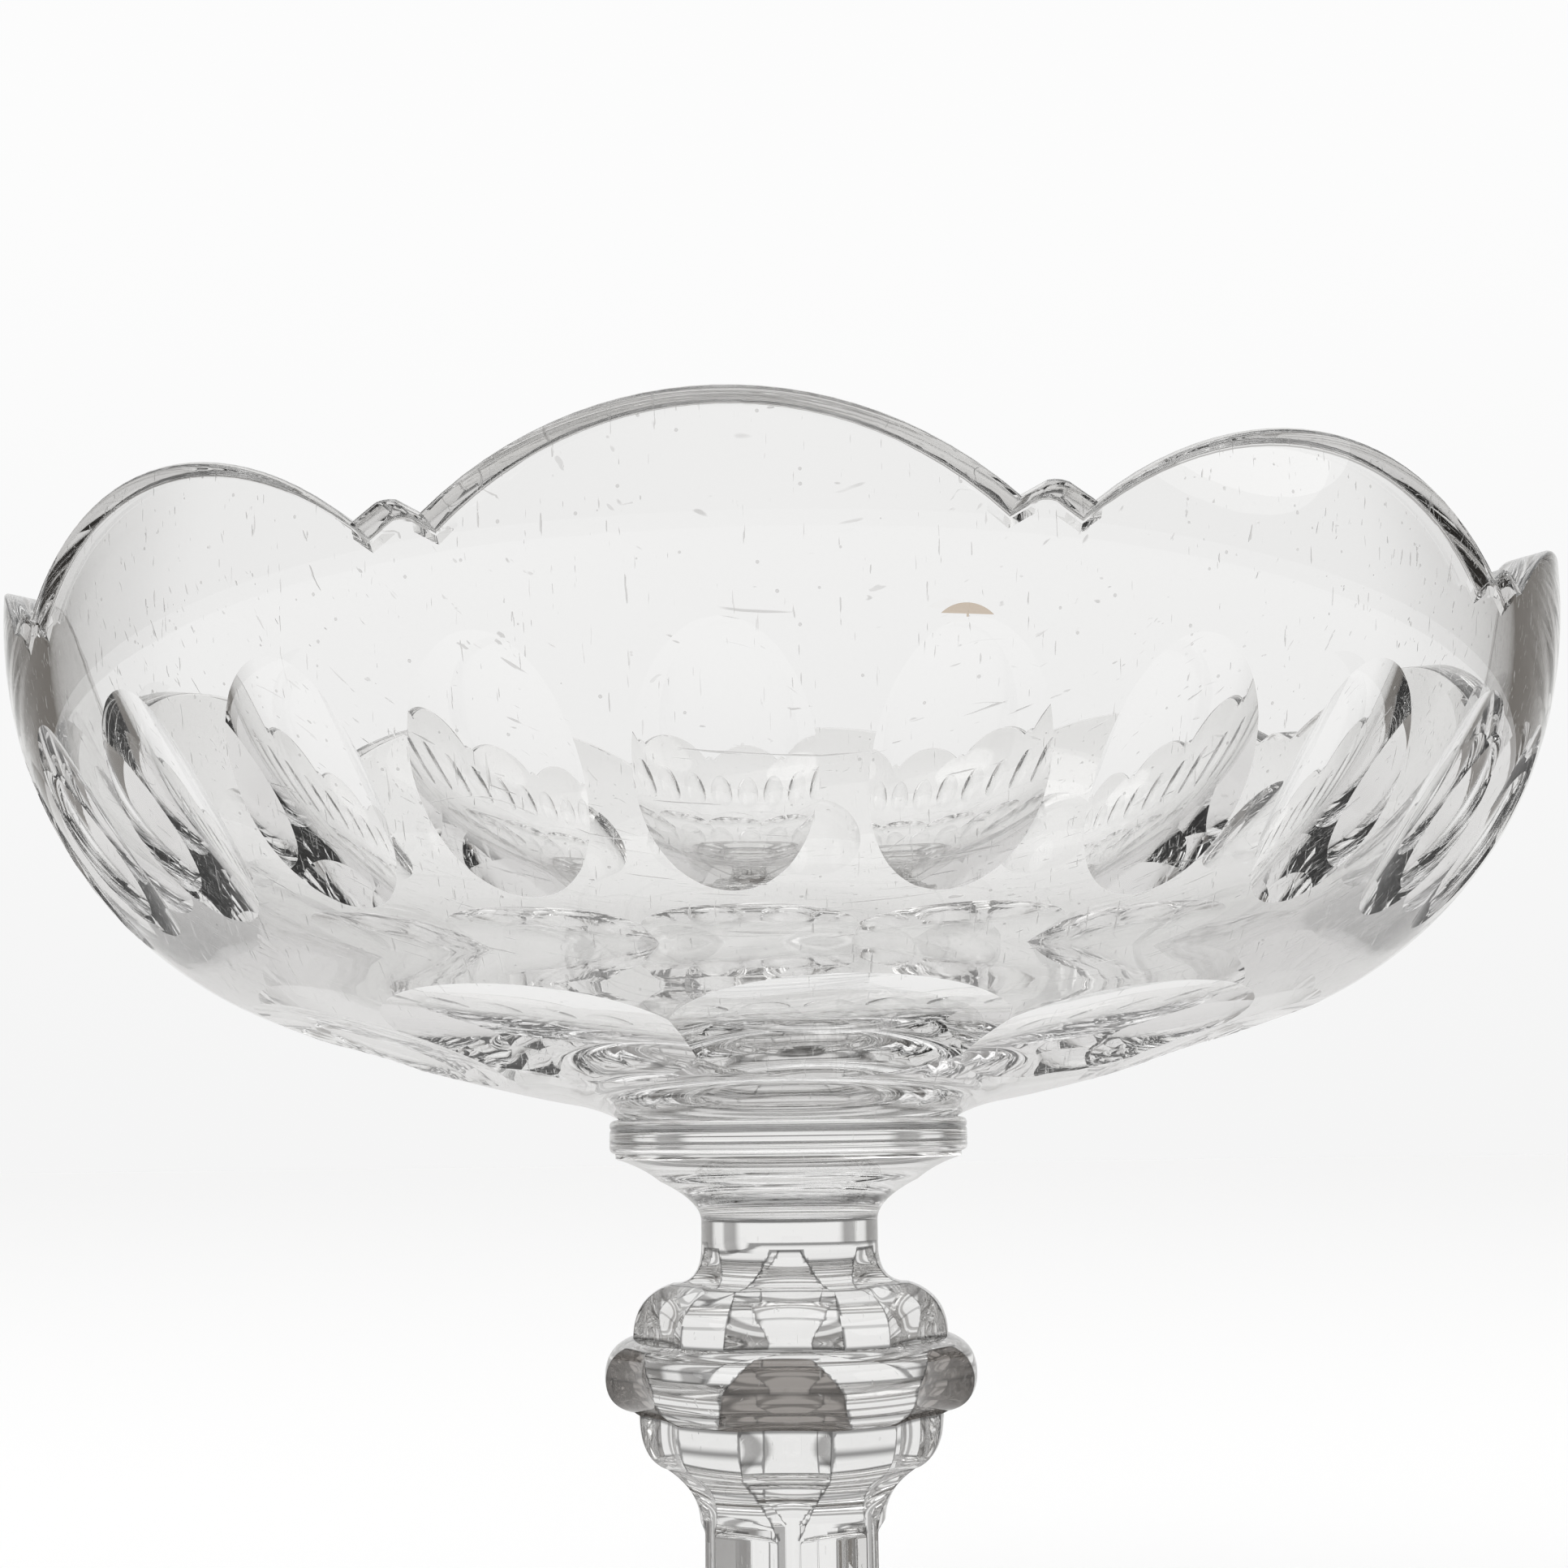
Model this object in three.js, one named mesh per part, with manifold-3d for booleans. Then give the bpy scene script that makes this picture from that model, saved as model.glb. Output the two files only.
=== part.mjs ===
// Cut glass compote: a lobed bowl on a collar, a capital, a panel-cut baluster stem and a round foot.
// Millimetres, +Z up. The origin is the centre of the face that the foot rests on.
import * as THREE from 'three';
import { mergeVertices } from 'three/addons/utils/BufferGeometryUtils.js';
import Module from 'manifold-3d';

const wasm = await Module();
wasm.setup();

// Heights of the five pieces, each resting on the one below
const FOOT_H = 33;
const STEM_H = 70.7;
const CAPITAL_H = 10.1;
const COLLAR_H = 5.1;
const BOWL_H = 74.4;

// Bowl: rim, wall and floor
const RIM_R = 115;
const RIM_WALL = 5.7;
const RIM_FALL = 0.7;
const BASE_R = 25.6;
const BASE_FILLET_W = 7.4;
const BASE_FILLET_H = 2.4;
const UNDERSIDE_SLOPE_DEG = 9.2;
const SHOULDER_R = 84.9;
const SHOULDER_H = 18.7;
const SHOULDER_SLOPE_DEG = 30.5;
const UPRIGHT_H = 72;
const FLOOR_WALL = 9.3;
const FLOOR_R = 66;
const FLOOR_RISE = 9.1;
const FLOOR_EDGE_SLOPE_DEG = 19;
const UNDERSIDE_PULL = [0.11, 0.29];
const SHOULDER_PULL = [0.42, 0.31];
const FLOOR_PULL = [0.4, 0.3];
const INNER_PULL = [0.42, 0.42];

// Rim lobes, each pair parted by two small V notches with a tab between them
const LOBES = 10;
const LOBE_PHASE_DEG = -93.4;
const LOBE_RISE = 11.4;
const NOTCH_HALF_DEG = 2.1;
const TAB_RISE = 1.8;
const TAB_ROUND_DEG = 0.6;

// Upright oval cuts round the shoulder: where they sit along the wall, how deep they go,
// and the radii of the hollow across and along the wall
const OVALS = 26;
const OVAL_PHASE_DEG = -93.4;
const OVAL_PLACE = 0.37;
const OVAL_DEPTH = 3;
const OVAL_ACROSS_R = 20;
const OVAL_ALONG_R = 180;

// Broad shallow cuts on the underside
const UNDER_CUTS = 10;
const UNDER_PHASE_DEG = -84.1;
const UNDER_PLACE = 0.62;
const UNDER_DEPTH = 2.4;
const UNDER_ACROSS_R = 170;
const UNDER_ALONG_R = 105;

// Collar disc and the coved capital under it
const COLLAR_R = 27.1;
const COLLAR_EDGE = 1.2;
const CAPITAL_R = 26.2;
const CAPITAL_LIP_H = 0.7;
const CAPITAL_COVE_R = 19.5;
const CAPITAL_COVE_H = 3.4;

// Stem: neck, bulb, ring and knop above a faceted column. A cove size is where a hollow
// sweep turns into the round swell next to it, a round height is how far that swell keeps
// close to the level of its edge, and a hollow height is the same for the sweep below it.
const NECK_R = 13.3;
const NECK_H = 3.7;
const BULB_COVE_R = 17.9;
const BULB_COVE_H = 5.5;
const BULB_R = 23.5;
const BULB_H = 13.1;
const BULB_ROUND_H = 1.6;
const RING_R = 27.65;
const RING_H = 10.9;
const RING_ROUND_H = 1;
const KNOP_R = 22.6;
const KNOP_H = 16;
const KNOP_COVE_R = 18.5;
const KNOP_COVE_H = 7.8;
const KNOP_ROUND_H = 1.5;
const KNOP_HOLLOW_H = 3.2;
const COLUMN_R = 13.6;

// Flat panels cut down the stem: half their width at the neck, the bulb's cove, the bulb, the
// top, middle and foot of the ring, the knop, the knop's cove and the column, and half the
// width of the broad flats between them on the column
const PANELS = 6;
const PANEL_PHASE_DEG = -92.5;
const PANEL_NECK_W = 2.3;
const PANEL_BULB_COVE_W = 7;
const PANEL_BULB_W = 8.5;
const PANEL_RING_TOP_W = 2;
const PANEL_RING_W = 8.4;
const PANEL_RING_FOOT_W = 9.4;
const PANEL_KNOP_W = 6.6;
const PANEL_KNOP_COVE_W = 5.9;
const PANEL_COLUMN_W = 1.5;
const COLUMN_FLAT_W = 5.3;

// Foot, ground flat on a ring round a shallow dish
const FOOT_R = 64;
const FOOT_EDGE_H = 5;
const FOOT_REST_R = 61;
const FOOT_DISH_R = 48;
const FOOT_DISH_H = 1.8;
const FOOT_SPREAD_H = 4;
const FOOT_NECK_MARGIN = 0.4;

// Steps round the turned faces
const BOWL_STEPS = 80;
const STEM_STEPS = 48;
const FOOT_STEPS = 52;

// Steps along the outlines, the rim's arches and the cutting stones
const UNDERSIDE_STEPS = 4;
const SHOULDER_STEPS = 8;
const INNER_STEPS = 6;
const FLOOR_STEPS = 4;
const SWELL_STEPS = 4;
const COVE_STEPS = 5;
const EDGE_STEPS = 2;
const LOBE_STEPS = 8;
const STONE_STEPS = 18;
const STONE_RINGS = 3;

// How far a cutting solid reaches past the face that it cuts
const OVERCUT = 4;
const STONE_OVERCUT = 0.6;

const stemTop = FOOT_H + STEM_H;
const collarBottom = stemTop + CAPITAL_H;
const bowlBottom = collarBottom + COLLAR_H;
const bowlTop = bowlBottom + BOWL_H;
const notchTop = bowlTop - LOBE_RISE;

const rad = THREE.MathUtils.degToRad;
const v2 = (r, z) => new THREE.Vector2(r, z);

// A curve that leaves one point at a slope and meets another at its own slope. The two pulls
// are the shares of the span over which it holds to each slope.
function sweep(from, fromDeg, to, toDeg, pull) {
  const span = from.distanceTo(to);
  const a = v2(Math.cos(rad(fromDeg)), Math.sin(rad(fromDeg))).multiplyScalar(span * pull[0]);
  const b = v2(Math.cos(rad(toDeg)), Math.sin(rad(toDeg))).multiplyScalar(span * pull[1]);
  return new THREE.CubicBezierCurve(from, from.clone().add(a), to.clone().sub(b), to);
}

// Turn an outline of (radius, height) points about the Z axis
function turned(points, steps) {
  return new THREE.LatheGeometry(points, steps).rotateX(Math.PI / 2);
}

// Manifold solid of a closed geometry, with its faces pointing out
function solid(geometry) {
  const bare = geometry.clone();
  bare.deleteAttribute('normal');
  bare.deleteAttribute('uv');
  const merged = mergeVertices(bare, 1e-4);
  const points = new Float32Array(merged.attributes.position.array);
  const order = new Uint32Array(merged.index.array);
  const build = (triVerts) => new wasm.Manifold(
    new wasm.Mesh({ numProp: 3, vertProperties: points, triVerts }),
  );
  const made = build(order);
  return made.volume() > 0 ? made : build(order.reverse());
}

function geometryOf(manifold) {
  const mesh = manifold.getMesh();
  const geometry = new THREE.BufferGeometry();
  geometry.setAttribute('position', new THREE.BufferAttribute(mesh.vertProperties, 3));
  geometry.setIndex(new THREE.BufferAttribute(mesh.triVerts, 1));
  geometry.computeVertexNormals();
  return geometry;
}

// Outer face of the bowl in two sweeps, and its inner face, which keeps the wall nearly even
const fillet = v2(BASE_R + BASE_FILLET_W, bowlBottom + BASE_FILLET_H);
const shoulder = v2(SHOULDER_R, bowlBottom + SHOULDER_H);
const upright = v2(RIM_R, bowlBottom + UPRIGHT_H);
const floorEdge = v2(FLOOR_R, bowlBottom + FLOOR_WALL + FLOOR_RISE);
const innerUpright = v2(RIM_R - RIM_WALL, upright.y);
const underside = sweep(fillet, UNDERSIDE_SLOPE_DEG, shoulder, SHOULDER_SLOPE_DEG, UNDERSIDE_PULL);
const shoulderWall = sweep(shoulder, SHOULDER_SLOPE_DEG, upright, 90, SHOULDER_PULL);
const floorCurve = sweep(v2(0, bowlBottom + FLOOR_WALL), 0, floorEdge, FLOOR_EDGE_SLOPE_DEG, FLOOR_PULL);
const innerWall = sweep(floorEdge, FLOOR_EDGE_SLOPE_DEG, innerUpright, 90, INNER_PULL);

// The bowl before its rim and ovals are cut, turned a little taller than the lobes
function bowlBlank() {
  const top = bowlTop + OVERCUT;
  return solid(turned([
    v2(0, bowlBottom),
    v2(BASE_R, bowlBottom),
    ...underside.getPoints(UNDERSIDE_STEPS),
    ...shoulderWall.getPoints(SHOULDER_STEPS).slice(1),
    v2(RIM_R, top),
    v2(RIM_R - RIM_WALL, top),
    ...innerWall.getPoints(INNER_STEPS).reverse(),
    ...floorCurve.getPoints(FLOOR_STEPS).reverse().slice(1),
  ], BOWL_STEPS));
}

// Angle and height of the rim, point by point: an arch for each lobe, then its notches and tab
function rimOutline() {
  const pitch = (2 * Math.PI) / LOBES;
  const half = pitch / 2 - rad(NOTCH_HALF_DEG);
  const chord = half * RIM_R;
  const archR = (chord * chord + LOBE_RISE * LOBE_RISE) / (2 * LOBE_RISE);
  const outline = [];
  for (let lobe = 0; lobe < LOBES; lobe += 1) {
    const middle = rad(LOBE_PHASE_DEG) + lobe * pitch;
    for (let i = 0; i <= LOBE_STEPS; i += 1) {
      const across = -chord + (2 * chord * i) / LOBE_STEPS;
      const height = bowlTop - archR + Math.sqrt(archR * archR - across * across);
      outline.push({ angle: middle + across / RIM_R, height });
    }
    const tab = middle + pitch / 2;
    outline.push({ angle: tab - rad(TAB_ROUND_DEG), height: notchTop + TAB_RISE });
    outline.push({ angle: tab + rad(TAB_ROUND_DEG), height: notchTop + TAB_RISE });
  }
  return outline;
}

// Everything above the rim: a turned ring whose under face is moved to the rim's outline.
// The rim falls a little towards the inside.
function rimCutter() {
  const outline = rimOutline();
  const inR = RIM_R - RIM_WALL - OVERCUT;
  const outR = RIM_R + OVERCUT;
  const low = notchTop - OVERCUT;
  const high = bowlTop + 2 * OVERCUT;
  const section = [v2(inR, low), v2(outR, low), v2(outR, high), v2(inR, high), v2(inR, low)];
  const ring = turned(section, outline.length);
  const at = ring.attributes.position;
  for (let i = 0; i < at.count; i += 1) {
    const column = outline[Math.floor(i / section.length) % outline.length];
    const radius = Math.hypot(at.getX(i), at.getY(i));
    const fall = (RIM_FALL * (RIM_R - radius)) / RIM_WALL;
    const height = at.getZ(i) < notchTop ? column.height - fall : high;
    at.setXYZ(i, radius * Math.cos(column.angle), radius * Math.sin(column.angle), height);
  }
  return solid(ring);
}

// The working face of a cutting stone, a shallow cap sunk into the bowl's outer face at one
// place along its outline. The cap is part of an ellipsoid with the two radii given.
function stone(curve, cut, angle) {
  const point = curve.getPoint(cut.place);
  const along = curve.getTangent(cut.place);
  const height = cut.acrossR;
  const reach = Math.acos(1 - (cut.depth + STONE_OVERCUT) / height);
  const cap = [];
  for (let i = 0; i <= STONE_RINGS; i += 1) {
    const t = (reach * i) / STONE_RINGS;
    cap.push(v2(Math.sin(t), -Math.cos(t)));
  }
  cap.push(v2(0, -Math.cos(reach)));
  const shape = turned(cap, STONE_STEPS);
  shape.scale(cut.acrossR, Math.sqrt(cut.alongR * height), height);
  shape.translate(0, 0, height - cut.depth);
  shape.applyMatrix4(new THREE.Matrix4().makeBasis(
    new THREE.Vector3(0, -1, 0),
    new THREE.Vector3(along.x, 0, along.y),
    new THREE.Vector3(along.y, 0, -along.x),
  ));
  shape.translate(point.x, 0, point.y);
  return solid(shape.rotateZ(angle));
}

function cutRound(body, count, phaseDeg, makeCutter) {
  let left = body;
  for (let i = 0; i < count; i += 1) {
    left = left.subtract(makeCutter(rad(phaseDeg) + (i * 2 * Math.PI) / count));
  }
  return left;
}

function bowl() {
  const oval = { place: OVAL_PLACE, depth: OVAL_DEPTH, acrossR: OVAL_ACROSS_R, alongR: OVAL_ALONG_R };
  const under = { place: UNDER_PLACE, depth: UNDER_DEPTH, acrossR: UNDER_ACROSS_R, alongR: UNDER_ALONG_R };
  let body = bowlBlank().subtract(rimCutter());
  body = cutRound(body, OVALS, OVAL_PHASE_DEG, (angle) => stone(shoulderWall, oval, angle));
  body = cutRound(body, UNDER_CUTS, UNDER_PHASE_DEG, (angle) => stone(underside, under, angle));
  return geometryOf(body);
}

// A disc with softly rounded edges
function collar() {
  const low = collarBottom;
  const high = bowlBottom;
  const path = new THREE.Path();
  path.moveTo(0, low).lineTo(COLLAR_R - COLLAR_EDGE, low);
  path.quadraticCurveTo(COLLAR_R, low, COLLAR_R, low + COLLAR_EDGE);
  path.lineTo(COLLAR_R, high - COLLAR_EDGE);
  path.quadraticCurveTo(COLLAR_R, high, COLLAR_R - COLLAR_EDGE, high);
  path.lineTo(0, high);
  return turned(path.getPoints(EDGE_STEPS), STEM_STEPS);
}

// A lip under the collar that coves in to the neck
function capital() {
  const lip = collarBottom - CAPITAL_LIP_H;
  const cove = lip - CAPITAL_COVE_H;
  const path = new THREE.Path();
  path.moveTo(0, stemTop).lineTo(NECK_R, stemTop);
  path.quadraticCurveTo(NECK_R, (stemTop + cove) / 2, CAPITAL_COVE_R, cove);
  path.lineTo(CAPITAL_R, lip).lineTo(CAPITAL_R, collarBottom).lineTo(0, collarBottom);
  return turned(path.getPoints(COVE_STEPS), STEM_STEPS);
}

// Heights where the parts of the stem begin, from the top down
const bulbTop = stemTop - NECK_H;
const ringTop = bulbTop - BULB_H;
const knopTop = ringTop - RING_H;
const columnTop = knopTop - KNOP_H;
const bulbCove = v2(BULB_COVE_R, bulbTop - BULB_COVE_H);
const knopCove = v2(KNOP_COVE_R, knopTop - KNOP_COVE_H);

const ringMiddle = v2(RING_R, ringTop - RING_H / 2);

// Arcs of the bulb, the ring and the knop, from the top down
const arc = (a, b, c) => new THREE.QuadraticBezierCurve(a, b, c).getPoints(SWELL_STEPS);
const bulbCoveArc = arc(v2(NECK_R, bulbTop), v2(NECK_R, bulbCove.y), bulbCove);
const bulbArc = arc(bulbCove, v2(BULB_R, bulbCove.y - BULB_ROUND_H), v2(BULB_R, ringTop));
const ringTopArc = arc(v2(BULB_R, ringTop), v2(RING_R, ringTop - RING_ROUND_H), ringMiddle);
const ringFootArc = arc(ringMiddle, v2(RING_R, knopTop + RING_ROUND_H), v2(KNOP_R, knopTop));
const knopArc = arc(v2(KNOP_R, knopTop), v2(KNOP_R, knopCove.y + KNOP_ROUND_H), knopCove);
const knopCoveArc = arc(knopCove, v2(COLUMN_R, knopCove.y - KNOP_HOLLOW_H), v2(COLUMN_R, columnTop));

function stemBlank() {
  return solid(turned([
    v2(0, stemTop),
    v2(NECK_R, stemTop),
    ...bulbCoveArc,
    ...bulbArc.slice(1),
    ...ringTopArc.slice(1),
    ...ringFootArc.slice(1),
    ...knopArc.slice(1),
    ...knopCoveArc.slice(1),
    v2(COLUMN_R, FOOT_H),
    v2(0, FOOT_H),
  ], STEM_STEPS));
}

// A block of everything outside a cutting line of (distance from the axis, height) points
function panelCutter(line, angle) {
  const far = RING_R + OVERCUT;
  const shape = new THREE.Shape([...line, v2(far, line[line.length - 1].y), v2(far, line[0].y)]);
  const block = new THREE.ExtrudeGeometry(shape, { depth: 2 * far, bevelEnabled: false });
  block.translate(0, 0, -far);
  return solid(block.rotateX(Math.PI / 2).rotateZ(angle));
}

// How far from the axis a flat of this half width lies on a round of this radius
const flatAt = (radius, halfWidth) => Math.sqrt(radius * radius - halfWidth * halfWidth);

// The cutting line along an arc, where the flat's half width grows steadily between two values
function flatLine(points, first, last) {
  return points.map((p, i) => v2(flatAt(p.x, first + ((last - first) * i) / SWELL_STEPS), p.y));
}

// The cutting line of the panels widens from the neck to the ring, makes an arched cut on the
// face of the ring, narrows down the knop and runs on down the column as a narrow strip
function panelLine() {
  return [
    ...flatLine(bulbCoveArc, PANEL_NECK_W, PANEL_BULB_COVE_W),
    ...flatLine(bulbArc, PANEL_BULB_COVE_W, PANEL_BULB_W).slice(1),
    v2(BULB_R, ringTop),
    v2(RING_R, ringTop),
    ...flatLine(ringTopArc, PANEL_RING_TOP_W, PANEL_RING_W).slice(1),
    ...flatLine(ringFootArc, PANEL_RING_W, PANEL_RING_FOOT_W).slice(1, -1),
    ...flatLine(knopArc, PANEL_KNOP_W, PANEL_KNOP_COVE_W),
    ...flatLine(knopCoveArc, PANEL_KNOP_COVE_W, PANEL_COLUMN_W).slice(1),
    v2(flatAt(COLUMN_R, PANEL_COLUMN_W), FOOT_H - OVERCUT),
  ];
}

function stem() {
  const line = panelLine();
  const flat = flatAt(COLUMN_R, COLUMN_FLAT_W);
  const side = [v2(flat, columnTop), v2(flat, FOOT_H - OVERCUT)];
  const between = PANEL_PHASE_DEG + 180 / PANELS;
  let body = stemBlank();
  body = cutRound(body, PANELS, PANEL_PHASE_DEG, (angle) => panelCutter(line, angle));
  body = cutRound(body, PANELS, between, (angle) => panelCutter(side, angle));
  return geometryOf(body);
}

// A round foot that sweeps up to the column, with a shallow dish ground under it
function foot() {
  const neck = COLUMN_R + FOOT_NECK_MARGIN;
  const path = new THREE.Path();
  path.moveTo(0, FOOT_DISH_H).lineTo(FOOT_DISH_R - FOOT_DISH_H, FOOT_DISH_H);
  path.lineTo(FOOT_DISH_R, 0).lineTo(FOOT_REST_R, 0);
  path.quadraticCurveTo(FOOT_R, 0, FOOT_R, FOOT_EDGE_H / 2);
  path.quadraticCurveTo(FOOT_R, FOOT_EDGE_H, FOOT_REST_R, FOOT_EDGE_H);
  path.bezierCurveTo(FOOT_R / 2, FOOT_EDGE_H + FOOT_SPREAD_H, neck, FOOT_H / 2, neck, FOOT_H);
  path.lineTo(0, FOOT_H);
  return turned(path.getPoints(COVE_STEPS), FOOT_STEPS);
}

function glass(name, geometry, color) {
  const material = new THREE.MeshStandardMaterial({ color, roughness: 0.04, metalness: 0 });
  const mesh = new THREE.Mesh(geometry, material);
  mesh.name = name;
  return mesh;
}

const compote = new THREE.Group();
compote.add(
  glass('bowl', bowl(), 0xebebeb),
  glass('collar', collar(), 0xdcdcda),
  glass('capital', capital(), 0xd8d8d6),
  glass('stem', stem(), 0xe0e0de),
  glass('foot', foot(), 0xe6e6e5),
);

export default compote;
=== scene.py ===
# %% [markdown]
# A compote is a footed bowl for fruit or sweets. This one is clear cut glass: five gathers of
# glass fused hot into one stack, then cut on wheels and polished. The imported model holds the
# true sizes and joints. Here each gather is remade with smooth surfaces, because glass shows
# every facet as a bent reflection.

# %% Load the frame
import math

import bpy
import numpy as np
from mathutils import Matrix, Vector


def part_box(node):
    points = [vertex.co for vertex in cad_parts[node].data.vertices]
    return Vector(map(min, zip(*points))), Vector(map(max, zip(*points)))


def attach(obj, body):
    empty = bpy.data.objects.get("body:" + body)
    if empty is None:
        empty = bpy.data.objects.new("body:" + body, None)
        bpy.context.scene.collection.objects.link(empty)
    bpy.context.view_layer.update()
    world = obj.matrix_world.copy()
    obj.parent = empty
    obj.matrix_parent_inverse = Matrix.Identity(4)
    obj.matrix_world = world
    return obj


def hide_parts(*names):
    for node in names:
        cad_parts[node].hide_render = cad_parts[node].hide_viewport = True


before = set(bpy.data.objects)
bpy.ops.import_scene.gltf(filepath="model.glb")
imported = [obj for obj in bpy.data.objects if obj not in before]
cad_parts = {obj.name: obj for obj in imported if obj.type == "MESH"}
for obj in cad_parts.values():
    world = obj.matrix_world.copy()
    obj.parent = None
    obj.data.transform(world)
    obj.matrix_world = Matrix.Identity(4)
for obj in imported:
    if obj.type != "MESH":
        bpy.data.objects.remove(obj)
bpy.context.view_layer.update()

print("nodes:", sorted(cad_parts))

# %% [markdown]
# All five gathers are round and stand on one axis, so the heights of their joints say most of
# what is needed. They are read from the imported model. Every other size below is in metres,
# measured from the joint under each piece.

# %% Heights and radii from the frame
boxes = {name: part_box(name) for name in ("bowl", "collar", "capital", "stem", "foot")}
foot_top = boxes["foot"][1][2]
stem_top = boxes["stem"][1][2]
capital_top = boxes["capital"][1][2]
bowl_base = boxes["bowl"][0][2]
bowl_top = boxes["bowl"][1][2]
rim_radius = boxes["bowl"][1][1]
foot_radius = boxes["foot"][1][1]
collar_radius = boxes["collar"][1][1]
print("joints at", [round(z, 4) for z in (foot_top, stem_top, capital_top, bowl_base, bowl_top)])

# %% [markdown]
# The photograph looks slightly up at the glass from the front, close enough that the rim
# bulges. The camera stands level with the collar and is pitched up, so no lens shift is
# needed. A small roll copies the way the picture leans.

# %% Camera
CAMERA_PLACE = (0, -0.316, 0.118)
CAMERA_LENS = 47.07
CAMERA_PITCH_DEG = 9.418
CAMERA_ROLL_DEG = -0.7
camera_data = bpy.data.cameras.new("camera")
camera_data.lens = CAMERA_LENS
camera_data.sensor_width = 36
camera_data.clip_start = 0.01
camera = bpy.data.objects.new("camera", camera_data)
bpy.context.collection.objects.link(camera)
pitch = Matrix.Rotation(math.radians(90 + CAMERA_PITCH_DEG), 4, "X")
roll = Matrix.Rotation(math.radians(CAMERA_ROLL_DEG), 4, "Z")
camera.matrix_world = Matrix.Translation(CAMERA_PLACE) @ pitch @ roll
bpy.context.scene.camera = camera
bpy.context.scene.view_settings.view_transform = "Standard"
print("camera at", CAMERA_PLACE, "with a lens of", CAMERA_LENS, "mm")

# %% [markdown]
# Materials and the world are graphs of nodes. A few short helpers add a node, join two sockets
# and do sums, so that the cells below read like the finish they describe. The last one makes an
# empty node group with named inputs and outputs, for an effect that several materials share.

# %% Helpers for node trees
def add(tree, kind, **values):
    node = tree.nodes.new(kind)
    for key, value in values.items():
        setattr(node, key, value)
    return node


def join(tree, source, target):
    tree.links.new(source, target)


def math_node(tree, operation, first, second=None, clamp=False):
    node = add(tree, "ShaderNodeMath", operation=operation, use_clamp=clamp)
    for socket, value in zip(node.inputs, (first, second)):
        if value is None:
            continue
        if isinstance(value, (int, float)):
            socket.default_value = value
        else:
            join(tree, value, socket)
    return node.outputs[0]


def ramp_between(tree, value, low, high):
    node = add(tree, "ShaderNodeMapRange", interpolation_type="SMOOTHSTEP")
    join(tree, value, node.inputs["Value"])
    node.inputs["From Min"].default_value = low
    node.inputs["From Max"].default_value = high
    return node.outputs["Result"]


def tone_ramp(tree, value, stops):
    node = add(tree, "ShaderNodeValToRGB")
    node.color_ramp.interpolation = "EASE"
    elements = node.color_ramp.elements
    for index, (place, tone) in enumerate(stops):
        stop = elements[index] if index < 2 else elements.new(1)
        stop.position = place
        stop.color = (*tone, 1)
    join(tree, value, node.inputs["Fac"])
    return node.outputs["Color"]


def mix_colour(tree, share, first, second):
    node = add(tree, "ShaderNodeMix", data_type="RGBA")
    for socket, value in zip((node.inputs[0], node.inputs[6], node.inputs[7]), (share, first, second)):
        if isinstance(value, (int, float)):
            socket.default_value = value
        elif isinstance(value, tuple):
            socket.default_value = (*value, 1)
        else:
            join(tree, value, socket)
    return node.outputs[2]


def new_group(name, inputs, outputs):
    tree = bpy.data.node_groups.new(name, "ShaderNodeTree")
    for direction, sockets in (("INPUT", inputs), ("OUTPUT", outputs)):
        for title, kind in sockets:
            tree.interface.new_socket(name=title, in_out=direction, socket_type=kind)
    return tree, add(tree, "NodeGroupInput"), add(tree, "NodeGroupOutput")

# %% [markdown]
# Clear glass has no colour of its own. It shows the white paper straight through, and the
# dimmer room wherever light has bounced inside it, which draws the grey and taupe bands of cut
# glass. Light Path tells the two apart: a ray that only passed through has as many
# transmissions as bounces. The world counts its own last step as well, so the limit there is
# one and a half. The room is a bright ceiling and a bright wall behind the glass, with dark
# taupe flags at both sides that draw the dark lines, and a grey wall in front. The wall's
# tones are listed by the angle from straight behind the glass.

# %% World: white paper behind, a plain room for reflections
PAPER_LOW = (0.915, 0.915, 0.915)
PAPER_HIGH = (0.975, 0.975, 0.975)
PAPER_RISE = 0.45
CEILING_COLOUR = (0.92, 0.92, 0.92)
CEILING_FROM = 0.2
CEILING_FULL = 0.6
FLAG_COLOUR = (0.19, 0.177, 0.163)
WALL_STOPS = ((0, (0.88, 0.88, 0.88)), (28, (0.84, 0.84, 0.83)), (40, FLAG_COLOUR), (78, FLAG_COLOUR),
              (95, (0.36, 0.35, 0.34)), (140, (0.33, 0.32, 0.31)), (180, (0.5, 0.49, 0.48)))
STRAIGHT_IN_WORLD = 1.5
MOST_BOUNCES = 28
GLOSSY_BOUNCES = 12


def straight_rays(tree, path, limit):
    bounced = math_node(tree, "SUBTRACT", path.outputs["Ray Depth"], path.outputs["Transmission Depth"])
    return math_node(tree, "LESS_THAN", bounced, limit)


world = bpy.data.worlds.new("room")
bpy.context.scene.world = world
world.use_nodes = True
room = world.node_tree
room.nodes.clear()
direction = add(room, "ShaderNodeTexCoord")
parts = add(room, "ShaderNodeSeparateXYZ")
join(room, direction.outputs["Generated"], parts.inputs[0])
turn = math_node(room, "ABSOLUTE", math_node(room, "ARCTAN2", parts.outputs["X"], parts.outputs["Y"]))
walls = tone_ramp(room, math_node(room, "DIVIDE", turn, math.pi),
                  [(degrees / 180, tone) for degrees, tone in WALL_STOPS])
ceiling = ramp_between(room, parts.outputs["Z"], CEILING_FROM, CEILING_FULL)
room_colour = mix_colour(room, ceiling, walls, CEILING_COLOUR)
paper = mix_colour(room, ramp_between(room, parts.outputs["Z"], 0, PAPER_RISE), PAPER_LOW, PAPER_HIGH)
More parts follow.
